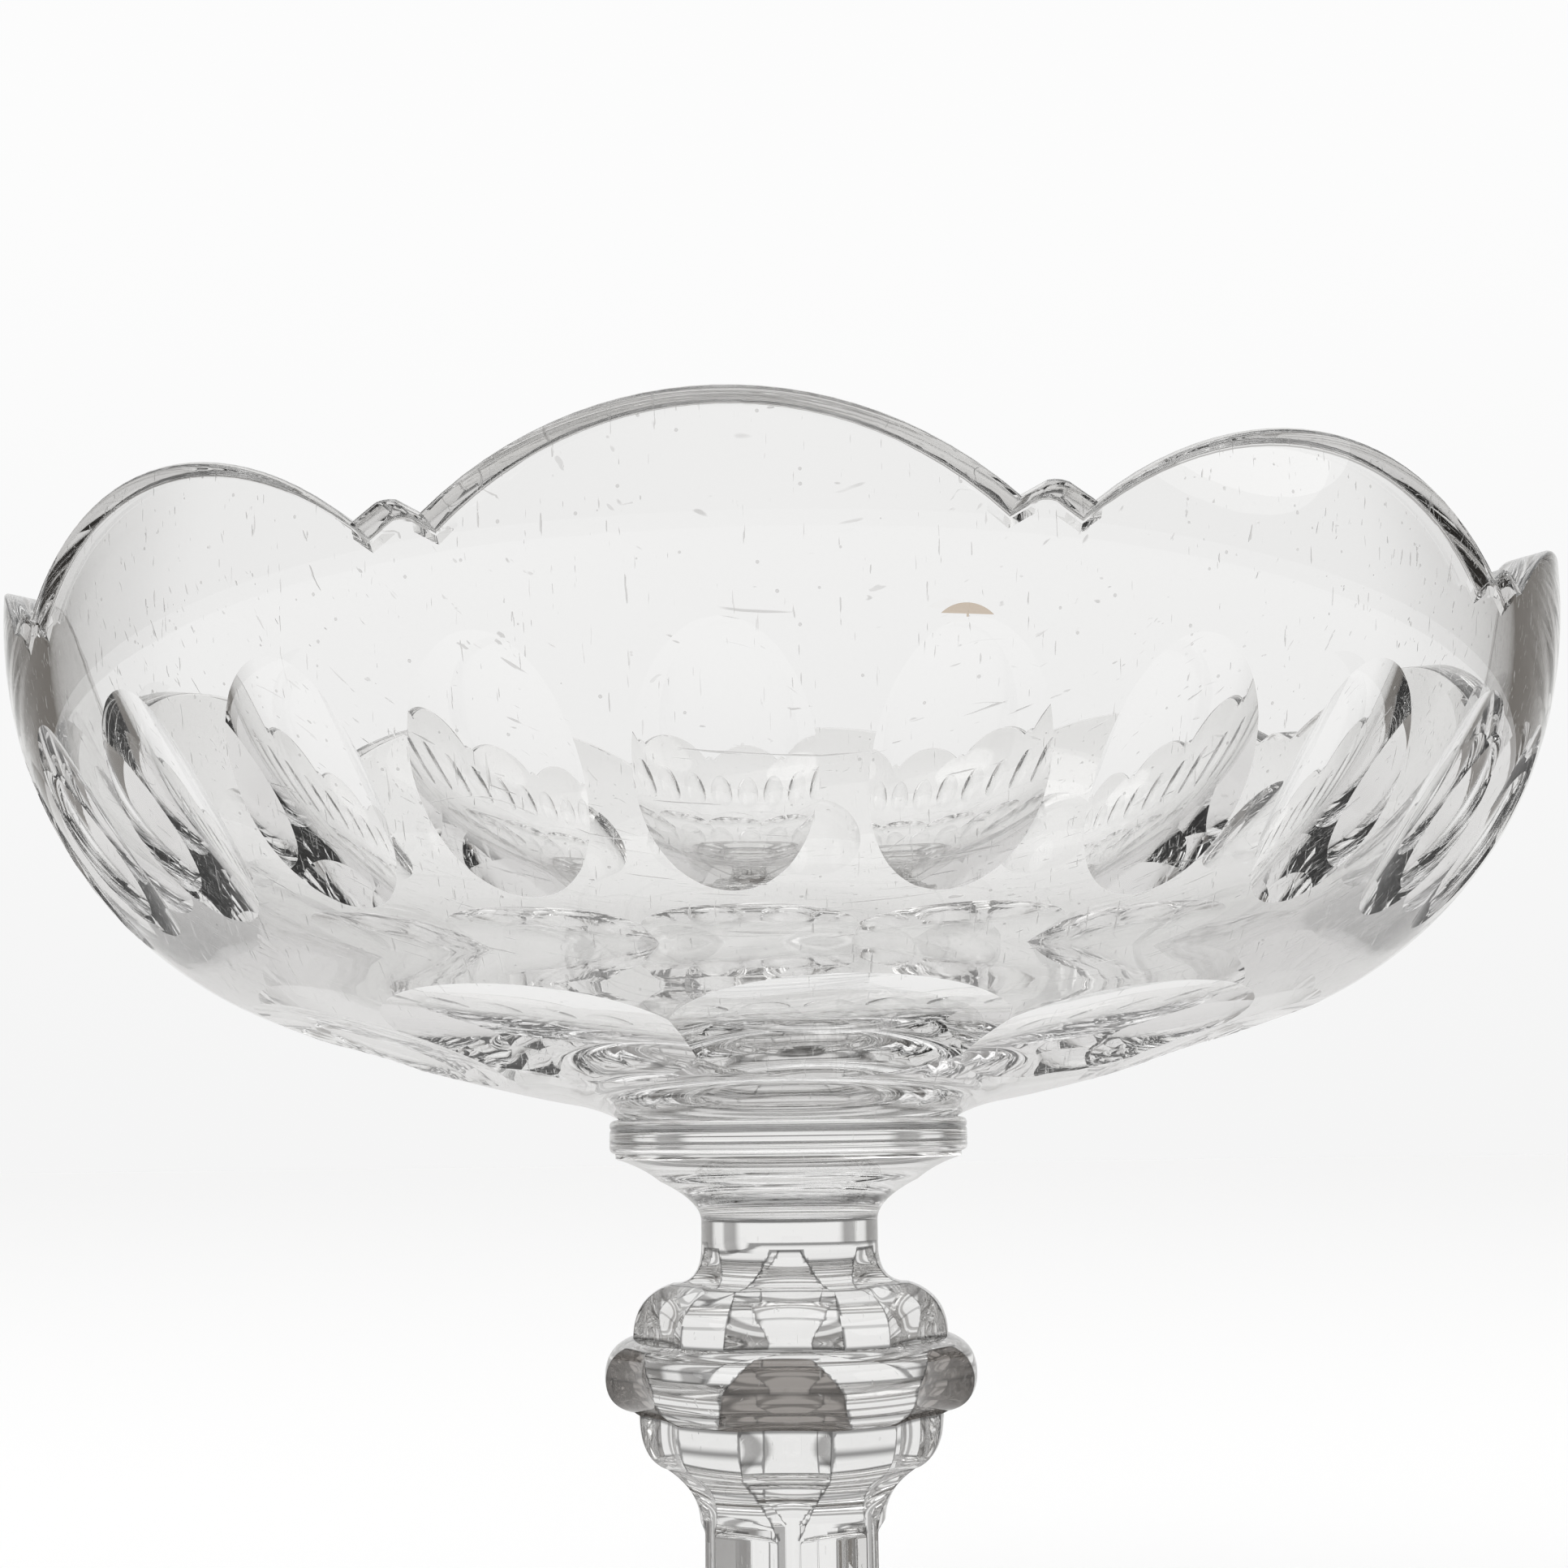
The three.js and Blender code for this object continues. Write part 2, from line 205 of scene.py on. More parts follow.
straight = straight_rays(room, add(room, "ShaderNodeLightPath"), STRAIGHT_IN_WORLD)
background = add(room, "ShaderNodeBackground")
join(room, mix_colour(room, straight, room_colour, paper), background.inputs["Color"])
world_out = add(room, "ShaderNodeOutputWorld")
join(room, background.outputs[0], world_out.inputs["Surface"])
bpy.context.scene.cycles.max_bounces = MOST_BOUNCES
bpy.context.scene.cycles.transmission_bounces = MOST_BOUNCES
bpy.context.scene.cycles.glossy_bounces = GLOSSY_BOUNCES
print("world nodes:", len(room.nodes))

# %% [markdown]
# The floor is plain matt white. It is lit to about the brightness of the paper, so its far
# edge melts into the background, and it still takes the soft shadow of the foot. Lamps can't
# light the floor through glass, so a ray that comes out of the glass sees the floor's colour at
# its plain value, where the foot would otherwise look black underneath.

# %% Floor
FLOOR_REACH = 6.0
STRAIGHT_ON_FLOOR = 0.5
FLOOR_STRAIGHT = (0.93, 0.93, 0.93)
FLOOR_BOUNCED = (0.74, 0.735, 0.73)
BLACK = (0, 0, 0)
floor_mesh = bpy.data.meshes.new("floor")
floor_mesh.from_pydata(
    [(-FLOOR_REACH, -FLOOR_REACH, 0), (FLOOR_REACH, -FLOOR_REACH, 0),
     (FLOOR_REACH, FLOOR_REACH, 0), (-FLOOR_REACH, FLOOR_REACH, 0)], [], [(0, 1, 2, 3)])
floor = bpy.data.objects.new("floor", floor_mesh)
bpy.context.collection.objects.link(floor)
floor_paint = bpy.data.materials.new("floor_white")
floor_paint.use_nodes = True
floor_tree = floor_paint.node_tree
floor_shader = floor_tree.nodes["Principled BSDF"]
floor_path = add(floor_tree, "ShaderNodeLightPath")
floor_seen = straight_rays(floor_tree, floor_path, STRAIGHT_ON_FLOOR)
floor_colour = mix_colour(floor_tree, floor_seen, FLOOR_BOUNCED, FLOOR_STRAIGHT)
through_glass = floor_path.outputs["Is Transmission Ray"]
lit_colour = mix_colour(floor_tree, through_glass, floor_colour, BLACK)
join(floor_tree, lit_colour, floor_shader.inputs["Base Color"])
join(floor_tree, floor_colour, floor_shader.inputs["Emission Color"])
join(floor_tree, through_glass, floor_shader.inputs["Emission Strength"])
floor_shader.inputs["Roughness"].default_value = 0.9
floor_shader.inputs["Specular IOR Level"].default_value = 0.1
floor_mesh.materials.append(floor_paint)
print("floor reaches", FLOOR_REACH, "m each way")

# %% [markdown]
# Plain soft light: one broad key from the upper left, one weaker fill from the right and a
# wide soft sun from above that keeps the floor even.

# %% Lamps
SUN_TILT = (math.radians(18), math.radians(-14), 0)
SUN_SPREAD = math.radians(70)


def area_lamp(name, place, target, size, power):
    data = bpy.data.lights.new(name, "AREA")
    data.shape = "DISK"
    data.size = size
    data.energy = power
    lamp = bpy.data.objects.new(name, data)
    bpy.context.collection.objects.link(lamp)
    aim = Vector(target) - Vector(place)
    lamp.matrix_world = Matrix.Translation(place) @ aim.to_track_quat("-Z", "Y").to_matrix().to_4x4()


area_lamp("key_light", place=(-1.3, -1.2, 1.6), target=(0, 0, 0.15), size=1.6, power=8)
area_lamp("fill_light", place=(1.6, -0.8, 1.1), target=(0, 0, 0.12), size=1.4, power=4)
sun_data = bpy.data.lights.new("soft_sun", "SUN")
sun_data.angle = SUN_SPREAD
sun_data.energy = 0.5
sun = bpy.data.objects.new("soft_sun", sun_data)
bpy.context.collection.objects.link(sun)
sun.rotation_euler = SUN_TILT
print("lamps:", [lamp.name for lamp in bpy.data.lights])

# %% [markdown]
# An old table glass is covered in hairline scratches from cutlery and from shelves. A noise
# stretched far along one direction and cut off near its top leaves thin broken streaks. Two
# such sets at different angles and one of short dashes, with a sparse speckle for dust and
# seeds, make the wear mask. Each set is a turn, a stretch and the level where the noise is cut.
# A slow waviness is added to the height, because hand-worked glass is never quite true.

# %% Node group: worn glass surface
STREAK_SETS = (((0.3, 0.5, 0.4), (45, 2600, 300), 0.71),
               ((1.1, -0.4, 1.9), (2400, 70, 260), 0.71),
               ((0.2, 1.2, 0.3), (260, 1500, 620), 0.725))
STREAK_SOFTNESS = 0.04
DOT_SCALE = 480
DOT_RADIUS = 0.1
DOT_RARITY = 0.78
WAVE_SCALE = 55
WORN_DEPTH = -0.02
wear, wear_in, wear_out = new_group(
    "glass_wear",
    (("Vector", "NodeSocketVector"), ("Scratches", "NodeSocketFloat"),
     ("Specks", "NodeSocketFloat"), ("Wave", "NodeSocketFloat")),
    (("Mask", "NodeSocketFloat"), ("Height", "NodeSocketFloat")))


def streaks(tree, vector, turn, stretch, cut):
    mapping = add(tree, "ShaderNodeMapping")
    mapping.inputs["Rotation"].default_value = turn
    mapping.inputs["Scale"].default_value = stretch
    noise = add(tree, "ShaderNodeTexNoise")
    noise.inputs["Scale"].default_value = 1
    noise.inputs["Detail"].default_value = 2
    noise.inputs["Distortion"].default_value = 0.25
    join(tree, vector, mapping.inputs["Vector"])
    join(tree, mapping.outputs[0], noise.inputs["Vector"])
    return ramp_between(tree, noise.outputs["Fac"], cut, cut + STREAK_SOFTNESS)


def sparse_dots(tree, vector):
    dots = add(tree, "ShaderNodeTexVoronoi")
    dots.inputs["Scale"].default_value = DOT_SCALE
    join(tree, vector, dots.inputs["Vector"])
    pick = add(tree, "ShaderNodeSeparateColor")
    join(tree, dots.outputs["Color"], pick.inputs[0])
    near = math_node(tree, "LESS_THAN", dots.outputs["Distance"], DOT_RADIUS)
    return math_node(tree, "MULTIPLY", near, math_node(tree, "GREATER_THAN", pick.outputs[0], DOT_RARITY))


first_set, second_set, dashes = (streaks(wear, wear_in.outputs["Vector"], *row) for row in STREAK_SETS)
all_sets = math_node(wear, "MAXIMUM", math_node(wear, "MAXIMUM", first_set, second_set), dashes)
scratch_mask = math_node(wear, "MULTIPLY", all_sets, wear_in.outputs["Scratches"])
dots_mask = sparse_dots(wear, wear_in.outputs["Vector"])
speck_mask = math_node(wear, "MULTIPLY", dots_mask, wear_in.outputs["Specks"])
join(wear, math_node(wear, "MAXIMUM", scratch_mask, speck_mask, clamp=True), wear_out.inputs["Mask"])
slow = add(wear, "ShaderNodeTexNoise")
slow.inputs["Scale"].default_value = WAVE_SCALE
slow.inputs["Detail"].default_value = 1
join(wear, wear_in.outputs["Vector"], slow.inputs["Vector"])
swell = math_node(wear, "MULTIPLY", slow.outputs["Fac"], wear_in.outputs["Wave"])
worn_in = math_node(wear, "MULTIPLY", math_node(wear, "MAXIMUM", scratch_mask, speck_mask), WORN_DEPTH)
join(wear, math_node(wear, "ADD", swell, worn_in), wear_out.inputs["Height"])
print("wear group nodes:", len(wear.nodes))

# %% [markdown]
# The arrises, the crests where two cuts meet, are worn and slightly rounded on an old glass, so
# each one bends light away and shows as a dark line; here that line is painted shade. The meshes
# of the collar, the capital and the stem will carry a value on their corners, 1 on such a line
# and 0 beside it. This group paints a colour almost black where the value is high.

# %% Node group: painted shade on arrises
# Painted shade: the near-black colour painted along arrises, grooves and bands.
ARRIS_SHADE_COLOUR = (0.003, 0.0028, 0.0025)
ARRIS_FROM = 0.3
ARRIS_FULL = 0.8
arrises, arris_in, arris_out = new_group(
    "painted_arris_shade", (("Color", "NodeSocketColor"), ("Strength", "NodeSocketFloat")),
    (("Color", "NodeSocketColor"),))
lines = add(arrises, "ShaderNodeAttribute", attribute_name="arris_shade")
on_line = ramp_between(arrises, lines.outputs["Fac"], ARRIS_FROM, ARRIS_FULL)
shade_share = math_node(arrises, "MULTIPLY", on_line, arris_in.outputs["Strength"])
join(arrises, mix_colour(arrises, shade_share, arris_in.outputs["Color"], ARRIS_SHADE_COLOUR),
     arris_out.inputs["Color"])
print("arris group nodes:", len(arrises.nodes))

# %% [markdown]
# Each finish of the glass is one material: the fire-polished outside, the used inside, the
# ground rim, the wheel cuts and the turned and cut stem. Scratches raise the roughness and dull
# the tint. Thick glass draws dark bands where it bends light sideways, at middling and at steep
# angles; here they are painted shade, the glass colour painted darker by the angle. Layer Weight
# gives the angle, it counts for more on the way out of the glass, and a ramp turns it into the
# share of the painted shade colour. The thin wall of the bowl has a ramp of its own, with only a
# light veil of painted shade at steep angles. The cuts on the ring are painted dark brown from
# outside, as painted shade for the dark they show, and clear from within, so that the far ones
# don't show as dark squares through the near side.

# %% One finish of the glass
GLASS_IOR = 1.53
CLEAR_TINT = (0.92, 0.918, 0.912)
# Painted shade: the dark colour painted into the glass at steep angles.
CLEAR_BEND_SHADE = (0.10, 0.093, 0.085)
BEND_SHADE_STOPS = ((0.26, 0), (0.36, 0.85), (0.48, 0.8), (0.55, 0.1), (0.64, 0.15), (0.74, 0.95), (1, 0.9))
THIN_SHADE_STOPS = ((0.60, 0), (0.80, 0.15), (1, 0.4))
BEND_ENTERING = 0.35
BEND_LEAVING = 3.65
WORN_COLOUR = (0.36, 0.35, 0.34)
WORN_SHARE = 0.8
WORN_ROUGHNESS = 0.25
BUMP_REACH = 0.001


# The share of painted shade by angle: Layer Weight through a ramp.
def painted_bend_shade(tree, backfacing, stops):
    facing = add(tree, "ShaderNodeLayerWeight")
    facing.inputs["Blend"].default_value = 0.5
    gain = math_node(tree, "ADD", math_node(tree, "MULTIPLY", backfacing, BEND_LEAVING), BEND_ENTERING)
    bent = math_node(tree, "MULTIPLY", facing.outputs["Facing"], gain)
    return tone_ramp(tree, bent, [(place, (share,) * 3) for place, share in stops])


def glass_finish(name, scratches, specks, wave, tint=CLEAR_TINT, edge=CLEAR_BEND_SHADE,
                 polish=0.0, stops=BEND_SHADE_STOPS, arris_shade=0.0, tint_within=None):
    material = bpy.data.materials.new(name)
    material.use_nodes = True
    tree = material.node_tree
    shader = tree.nodes["Principled BSDF"]
    shader.inputs["Transmission Weight"].default_value = 1
    shader.inputs["Metallic"].default_value = 0
    shader.inputs["IOR"].default_value = GLASS_IOR
    place = add(tree, "ShaderNodeTexCoord")
    worn = add(tree, "ShaderNodeGroup", node_tree=wear)
    join(tree, place.outputs["Object"], worn.inputs["Vector"])
    worn.inputs["Scratches"].default_value = scratches
    worn.inputs["Specks"].default_value = specks
    worn.inputs["Wave"].default_value = wave
    backfacing = add(tree, "ShaderNodeNewGeometry").outputs["Backfacing"]
    if tint_within:
        tint = mix_colour(tree, backfacing, tint, tint_within)
    # Painted shade: the tint is painted towards the dark edge colour by the angle of view.
    body = mix_colour(tree, painted_bend_shade(tree, backfacing, stops), tint, edge)
    # Painted shade on arrises, grooves and bands, where the mesh carries the value.
    if arris_shade:
        lined = add(tree, "ShaderNodeGroup", node_tree=arrises)
        join(tree, body, lined.inputs["Color"])
        lined.inputs["Strength"].default_value = arris_shade
        body = lined.outputs["Color"]
    worn_share = math_node(tree, "MULTIPLY", worn.outputs["Mask"], WORN_SHARE)
    join(tree, mix_colour(tree, worn_share, body, WORN_COLOUR), shader.inputs["Base Color"])
    rough = math_node(tree, "MULTIPLY", worn.outputs["Mask"], WORN_ROUGHNESS)
    join(tree, math_node(tree, "ADD", rough, polish), shader.inputs["Roughness"])
    bump = add(tree, "ShaderNodeBump")
    bump.inputs["Distance"].default_value = BUMP_REACH
    bump.inputs["Strength"].default_value = 1
    join(tree, worn.outputs["Height"], bump.inputs["Height"])
    join(tree, bump.outputs["Normal"], shader.inputs["Normal"])
    return material

# %% [markdown]
# Where two gathers are fused no air parts them, so light passes as if no surface were there.
# The joint faces stay in the meshes, which keeps each piece closed, and get a material with no
# alpha. The other materials are the finishes above with their own amount of wear.

# %% Materials of the glass
STEM_TINT = (0.88, 0.877, 0.868)
# Painted shade of the stem's dark bands, darker than on the bowl.
STEM_BEND_SHADE = (0.03, 0.027, 0.024)
# Painted shade: the dark brown painted on the ring cuts, seen from outside.
RING_PAINTED_SHADE = (0.12, 0.105, 0.094)
fused = bpy.data.materials.new("fused_joint")
fused.use_nodes = True
fused_shader = fused.node_tree.nodes["Principled BSDF"]
fused_shader.inputs["Base Color"].default_value = (1, 1, 1, 1)
fused_shader.inputs["Alpha"].default_value = 0
outside = glass_finish("fire_polished_glass", 0.6, 0.8, 0.02, stops=THIN_SHADE_STOPS)
inside = glass_finish("used_inside_glass", 0.9, 0.8, 0.03, stops=THIN_SHADE_STOPS)
rim_glass = glass_finish("ground_rim_glass", 0.8, 0.8, 0.02, polish=0.02)
wheel_cut = glass_finish("wheel_cut_glass", 0.4, 0.3, 0.01, stops=THIN_SHADE_STOPS)
stem_turned = glass_finish("turned_stem_glass", 0.3, 0.3, 0.03, STEM_TINT, STEM_BEND_SHADE, arris_shade=0.9)
stem_cut = glass_finish("panel_cut_glass", 0.3, 0.2, 0.02, STEM_TINT, STEM_BEND_SHADE, arris_shade=0.9)
ring_cut = glass_finish("ring_cut_shaded_glass", 0.5, 0.2, 0.25, RING_PAINTED_SHADE, polish=0.08, arris_shade=0.6,
                        tint_within=STEM_TINT)
print("glass finishes:", [m.name for m in bpy.data.materials if "glass" in m.name])

# %% [markdown]
# One flaw is part of this glass: a small amber crescent with a short line under it, where a
# grain of clay stuck to the outer wall. It is drawn on the wall itself from its place: two
# plain tests make the crescent, a disc cut off by a level line, and a narrow strip the line.

# %% Amber flaw on the outer wall
FLAW_PLACE = (0.0192, 0.0, 0.1702)
FLAW_COLOUR = (0.33, 0.20, 0.09)
FLAW_SHARE = 0.85
DISC_RADIUS = 0.0041
DISC_SINK = 0.0034
DISC_CUT = -0.0004
LINE_HALF_WIDTH = 0.00012
LINE_END = -0.0042


def all_of(tree, *tests):
    mask = tests[0]
    for test in tests[1:]:
        mask = math_node(tree, "MULTIPLY", mask, test)
    return mask


def distance_of(tree, across, up):
    squares = [math_node(tree, "MULTIPLY", value, value) for value in (across, up)]
    return math_node(tree, "SQRT", math_node(tree, "ADD", *squares))


flaw_tree = outside.node_tree
flaw_offset = add(flaw_tree, "ShaderNodeVectorMath", operation="SUBTRACT")
join(flaw_tree, add(flaw_tree, "ShaderNodeTexCoord").outputs["Object"], flaw_offset.inputs[0])
flaw_offset.inputs[1].default_value = FLAW_PLACE
flaw_parts = add(flaw_tree, "ShaderNodeSeparateXYZ")
join(flaw_tree, flaw_offset.outputs[0], flaw_parts.inputs[0])
aside, ahead, above = flaw_parts.outputs
from_disc = distance_of(flaw_tree, aside, math_node(flaw_tree, "ADD", above, DISC_SINK))
crescent = all_of(flaw_tree, math_node(flaw_tree, "LESS_THAN", from_disc, DISC_RADIUS),
                  math_node(flaw_tree, "GREATER_THAN", above, DISC_CUT))
off_line = math_node(flaw_tree, "ABSOLUTE", aside)
strip = all_of(flaw_tree, math_node(flaw_tree, "LESS_THAN", off_line, LINE_HALF_WIDTH),
               math_node(flaw_tree, "GREATER_THAN", above, LINE_END),
               math_node(flaw_tree, "LESS_THAN", above, 0))
flaw_share = all_of(flaw_tree, math_node(flaw_tree, "MAXIMUM", crescent, strip),
                    math_node(flaw_tree, "LESS_THAN", ahead, 0), FLAW_SHARE)
flaw_shader = flaw_tree.nodes["Principled BSDF"]
clear_colour = flaw_shader.inputs["Base Color"].links[0].from_socket
flawed_colour = mix_colour(flaw_tree, flaw_share, clear_colour, FLAW_COLOUR)
join(flaw_tree, flawed_colour, flaw_shader.inputs["Base Color"])
print("amber flaw at", FLAW_PLACE)

# %% [markdown]
# Curves are the language of turned glass. A cubic sweep leaves one point at a slope and meets
# the next at its own slope, which is how a gaffer thinks of a wall. A short bend rounds the
# corner between two straight runs.

# %% Curves for outlines
def cubic(start, leave, arrive, end, count):
    a, b, c, d = (np.array(p, float) for p in (start, leave, arrive, end))
    t = np.linspace(0, 1, count + 1)[:, None]
    return (1 - t) ** 3 * a + 3 * (1 - t) ** 2 * t * b + 3 * (1 - t) * t ** 2 * c + t ** 3 * d


def sweep(start, start_deg, end, end_deg, pull, count):
    a, d = np.array(start, float), np.array(end, float)
    span = np.linalg.norm(d - a)
    leave, meet = (np.array([math.cos(math.radians(slope)), math.sin(math.radians(slope))])
                   for slope in (start_deg, end_deg))
    return cubic(a, a + leave * span * pull[0], d - meet * span * pull[1], d, count)


def bend(start, corner, end, count):
    a, b, c = (np.array(p, float) for p in (start, corner, end))
    t = np.linspace(0, 1, count + 1)[:, None]
    return (1 - t) ** 2 * a + 2 * (1 - t) * t * b + t ** 2 * c


def straight_run(start, end, count=1):
    return np.linspace(np.array(start, float), np.array(end, float), count + 1)


def joined(*stretches):
    return np.vstack([stretches[0]] + [stretch[1:] for stretch in stretches[1:]])

# %% [markdown]
# Refraction follows the normals, not the facets. For each surface the true normal is known
# from its outline. The nearest stretch of the outline gives it, and a crease in the outline
# stays a crease. A corner of a face is first pulled a little to the face's middle, so that at
# a crease each face finds its own side.

# %% True normals from an outline
CREASE_DEG = 14
PULL_TO_MIDDLE = 0.15
LOOKUP_BATCH = 4000


def outline_normals(outline):
    step = np.diff(outline, axis=0)
    flat = np.stack([step[:, 1], -step[:, 0]], axis=1)
    flat /= np.linalg.norm(flat, axis=1)[:, None]
    first = flat.copy()
    last = flat.copy()
    gentle = (flat[:-1] * flat[1:]).sum(axis=1) > math.cos(math.radians(CREASE_DEG))
    shared = flat[:-1] + flat[1:]
    shared /= np.maximum(np.linalg.norm(shared, axis=1), 1e-9)[:, None]
    last[:-1][gentle] = shared[gentle]
    first[1:][gentle] = shared[gentle]
    return first, last


def nearest_normals(spots, middles, outline):
    first, last = outline_normals(outline)
    pulled = spots * (1 - PULL_TO_MIDDLE) + middles * PULL_TO_MIDDLE
    start = outline[:-1]
    step = np.diff(outline, axis=0)
    square = (step ** 2).sum(axis=1)
    result = np.empty_like(spots)
    for part in np.array_split(np.arange(len(spots)), len(spots) // LOOKUP_BATCH + 1):
        off = pulled[part][:, None, :] - start[None]
        share = np.clip((off * step).sum(axis=2) / square, 0, 1)
        gap = ((off - share[..., None] * step) ** 2).sum(axis=2)
        pick = gap.argmin(axis=1)
        along = ((spots[part] - start[pick]) * step[pick]).sum(axis=1) / square[pick]
        along = np.clip(along, 0, 1)[:, None]
        result[part] = first[pick] * (1 - along) + last[pick] * along
    return result / np.linalg.norm(result, axis=1)[:, None]


def turned_rule(outline, base, side=1):
    def rule(points, centres):
        around = np.arctan2(points[:, 1], points[:, 0])
        spots = np.stack([np.hypot(points[:, 0], points[:, 1]), points[:, 2] - base], axis=1)
        middles = np.stack([np.hypot(centres[:, 0], centres[:, 1]), centres[:, 2] - base], axis=1)
        flat = side * nearest_normals(spots, middles, outline)
        return np.stack([flat[:, 0] * np.cos(around), flat[:, 0] * np.sin(around), flat[:, 1]], axis=1)
    return rule

# %% [markdown]
# Blender keeps a normal for every corner of every face. Each surface's rule gives the normals
# of its corners. A corner keeps its own normal where the rule points well away from the face,
# as it can beside a crease. values_of reads a whole column of a mesh at once, which is quick.

# %% Setting the normals
RULE_FITS = 0.85


def values_of(rows, field, kind=float, width=1):
    values = np.empty(len(rows) * width, kind)
    rows.foreach_get(field, values)
    return values.reshape(-1, width) if width > 1 else values


def set_normals(mesh, rules, sharp_deg=20):
    mesh.set_sharp_from_angle(angle=math.radians(sharp_deg))
    sides = values_of(mesh.polygons, "loop_total", int)
    kinds = np.repeat(values_of(mesh.polygons, "material_index", int), sides)
    middles = np.repeat(values_of(mesh.polygons, "center", width=3), sides, axis=0)
    facing = np.repeat(values_of(mesh.polygons, "normal", width=3), sides, axis=0)
    points = values_of(mesh.vertices, "co", width=3)[values_of(mesh.loops, "vertex_index", int)]
    normals = values_of(mesh.corner_normals, "vector", width=3)
    for kind, rule in rules.items():
        chosen = np.flatnonzero(kinds == kind)
        ruled = rule(points[chosen], middles[chosen])
        fits = (ruled * facing[chosen]).sum(axis=1) > RULE_FITS
        normals[chosen[fits]] = ruled[fits]
    mesh.normals_split_custom_set(normals.tolist())

# %% [markdown]
# This is the value that the group for painted shade on arrises reads. It sits on the corners of
# the faces, so it can be 1 on a line and 0 right beside it. Wide faces stay clear, because the
# value would spread over them. Soft bands of painted shade round the turned parts, where they
# draw in, are marked the same way: each has a height, a reach and a strength.

# %% Painted shade on arrises and grooves
WIDE_FACE = 1.2e-6


def mark_painted_shade(mesh, worn, banded=None):
    which = values_of(mesh.loops, "vertex_index", int)
    sides = values_of(mesh.polygons, "loop_total", int)
    values = worn[which] * np.repeat(values_of(mesh.polygons, "area") < WIDE_FACE, sides)
    if banded is not None:
        turned = values_of(mesh.polygons, "material_index", int) == 0
        values = np.maximum(values, banded[which] * np.repeat(turned, sides))
    mesh.attributes.new("arris_shade", "FLOAT", "CORNER").data.foreach_set("value", values)
    print(mesh.name, int((values > 0).sum()), "corners marked")


def near_heights(mesh, base, places):
    heights = values_of(mesh.vertices, "co", width=3)[:, 2]
    near = np.zeros(len(heights))
    for place, reach, peak in places:
        near = np.maximum(near, peak * (1 - np.abs(heights - base - place) / reach))
    return near


def mark_arris_shade(mesh, low, high, base, bands):
    sharp = values_of(mesh.attributes["sharp_edge"].data, "value", bool)
    ends = values_of(mesh.edges, "vertices", int, 2)
    heights = values_of(mesh.vertices, "co", width=3)[:, 2]
    worn = np.zeros(len(mesh.vertices))
    worn[ends[sharp].ravel()] = 1
    worn[(heights < low) | (heights > high)] = 0
    mark_painted_shade(mesh, worn, near_heights(mesh, base, bands))


def mark_shade_bands(mesh, base, grooves):
    mark_painted_shade(mesh, near_heights(mesh, base, grooves))

# %% [markdown]
# A grid turned about the axis makes every blank here. Each row has a radius and a height for
# every column, so a row can be a plain circle or follow the lobes of the rim. The first and
# last rows close on a single point of the axis, which keeps the solid watertight. The kind of
# each band of faces is kept as its material slot.

# %% A grid of rows turned about the axis
def grid_mesh(name, angles, radii, heights, first, last, kinds):
    rows, columns = radii.shape
    x = radii * np.cos(angles)
    y = radii * np.sin(angles)
    points = np.stack([x, y, heights], axis=-1).reshape(-1, 3)
    points = np.vstack([points, [[0, 0, first], [0, 0, last]]])
    start = rows * columns
    order = np.arange(columns)
    after = (order + 1) % columns
    bands = []
    slots = []
    for row in range(rows - 1):
        low = row * columns
        high = low + columns
        bands.append(np.stack([low + order, low + after, high + after, high + order], axis=1))
        slots.extend([kinds[row + 1]] * columns)
    faces = np.vstack(bands).tolist()
    top = (rows - 1) * columns
    faces += np.stack([np.full(columns, start), after, order], axis=1).tolist()
    faces += np.stack([np.full(columns, start + 1), top + order, top + after], axis=1).tolist()
    slots.extend([kinds[0]] * columns + [kinds[rows]] * columns)
    mesh = bpy.data.meshes.new(name)
    mesh.from_pydata(points.tolist(), [], faces)
    mesh.polygons.foreach_set("material_index", slots)
    mesh.update()
    return mesh


def turned_mesh(name, outline, base, columns, low_kind, high_kind):
    angles = np.linspace(0, 2 * math.pi, columns, endpoint=False)
    radii = np.outer(outline[:, 0], np.ones(columns))
    heights = np.outer(outline[:, 1] + base, np.ones(columns))
    kinds = [low_kind] + [0] * (len(outline) - 1) + [high_kind]
    return grid_mesh(name, angles, radii, heights, outline[0, 1] + base, outline[-1, 1] + base, kinds)

# %% [markdown]
# Every piece of the dressed glass is made in the same way: its mesh gets its materials and is
# shaded smooth. It rides on the one body and replaces its solid from the imported model.

# %% From a mesh to a piece
def give_slots(mesh, materials):
    if not mesh.materials:
        for material in materials:
            mesh.materials.append(material)


def make_piece(name, mesh, materials, node):
    give_slots(mesh, materials)
    mesh.polygons.foreach_set("use_smooth", [True] * len(mesh.polygons))
    piece = bpy.data.objects.new(name, mesh)
    bpy.context.collection.objects.link(piece)
    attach(piece, "root")
    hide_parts(node)
    print(name, len(mesh.polygons), "faces")

# %% [markdown]
# Wheel cuts are made the way the cutter makes them: a tool is pressed into the blank and takes
# away what it meets. A boolean does this, and each tool brings its own material slot along, so
# the new faces know that they are cut.

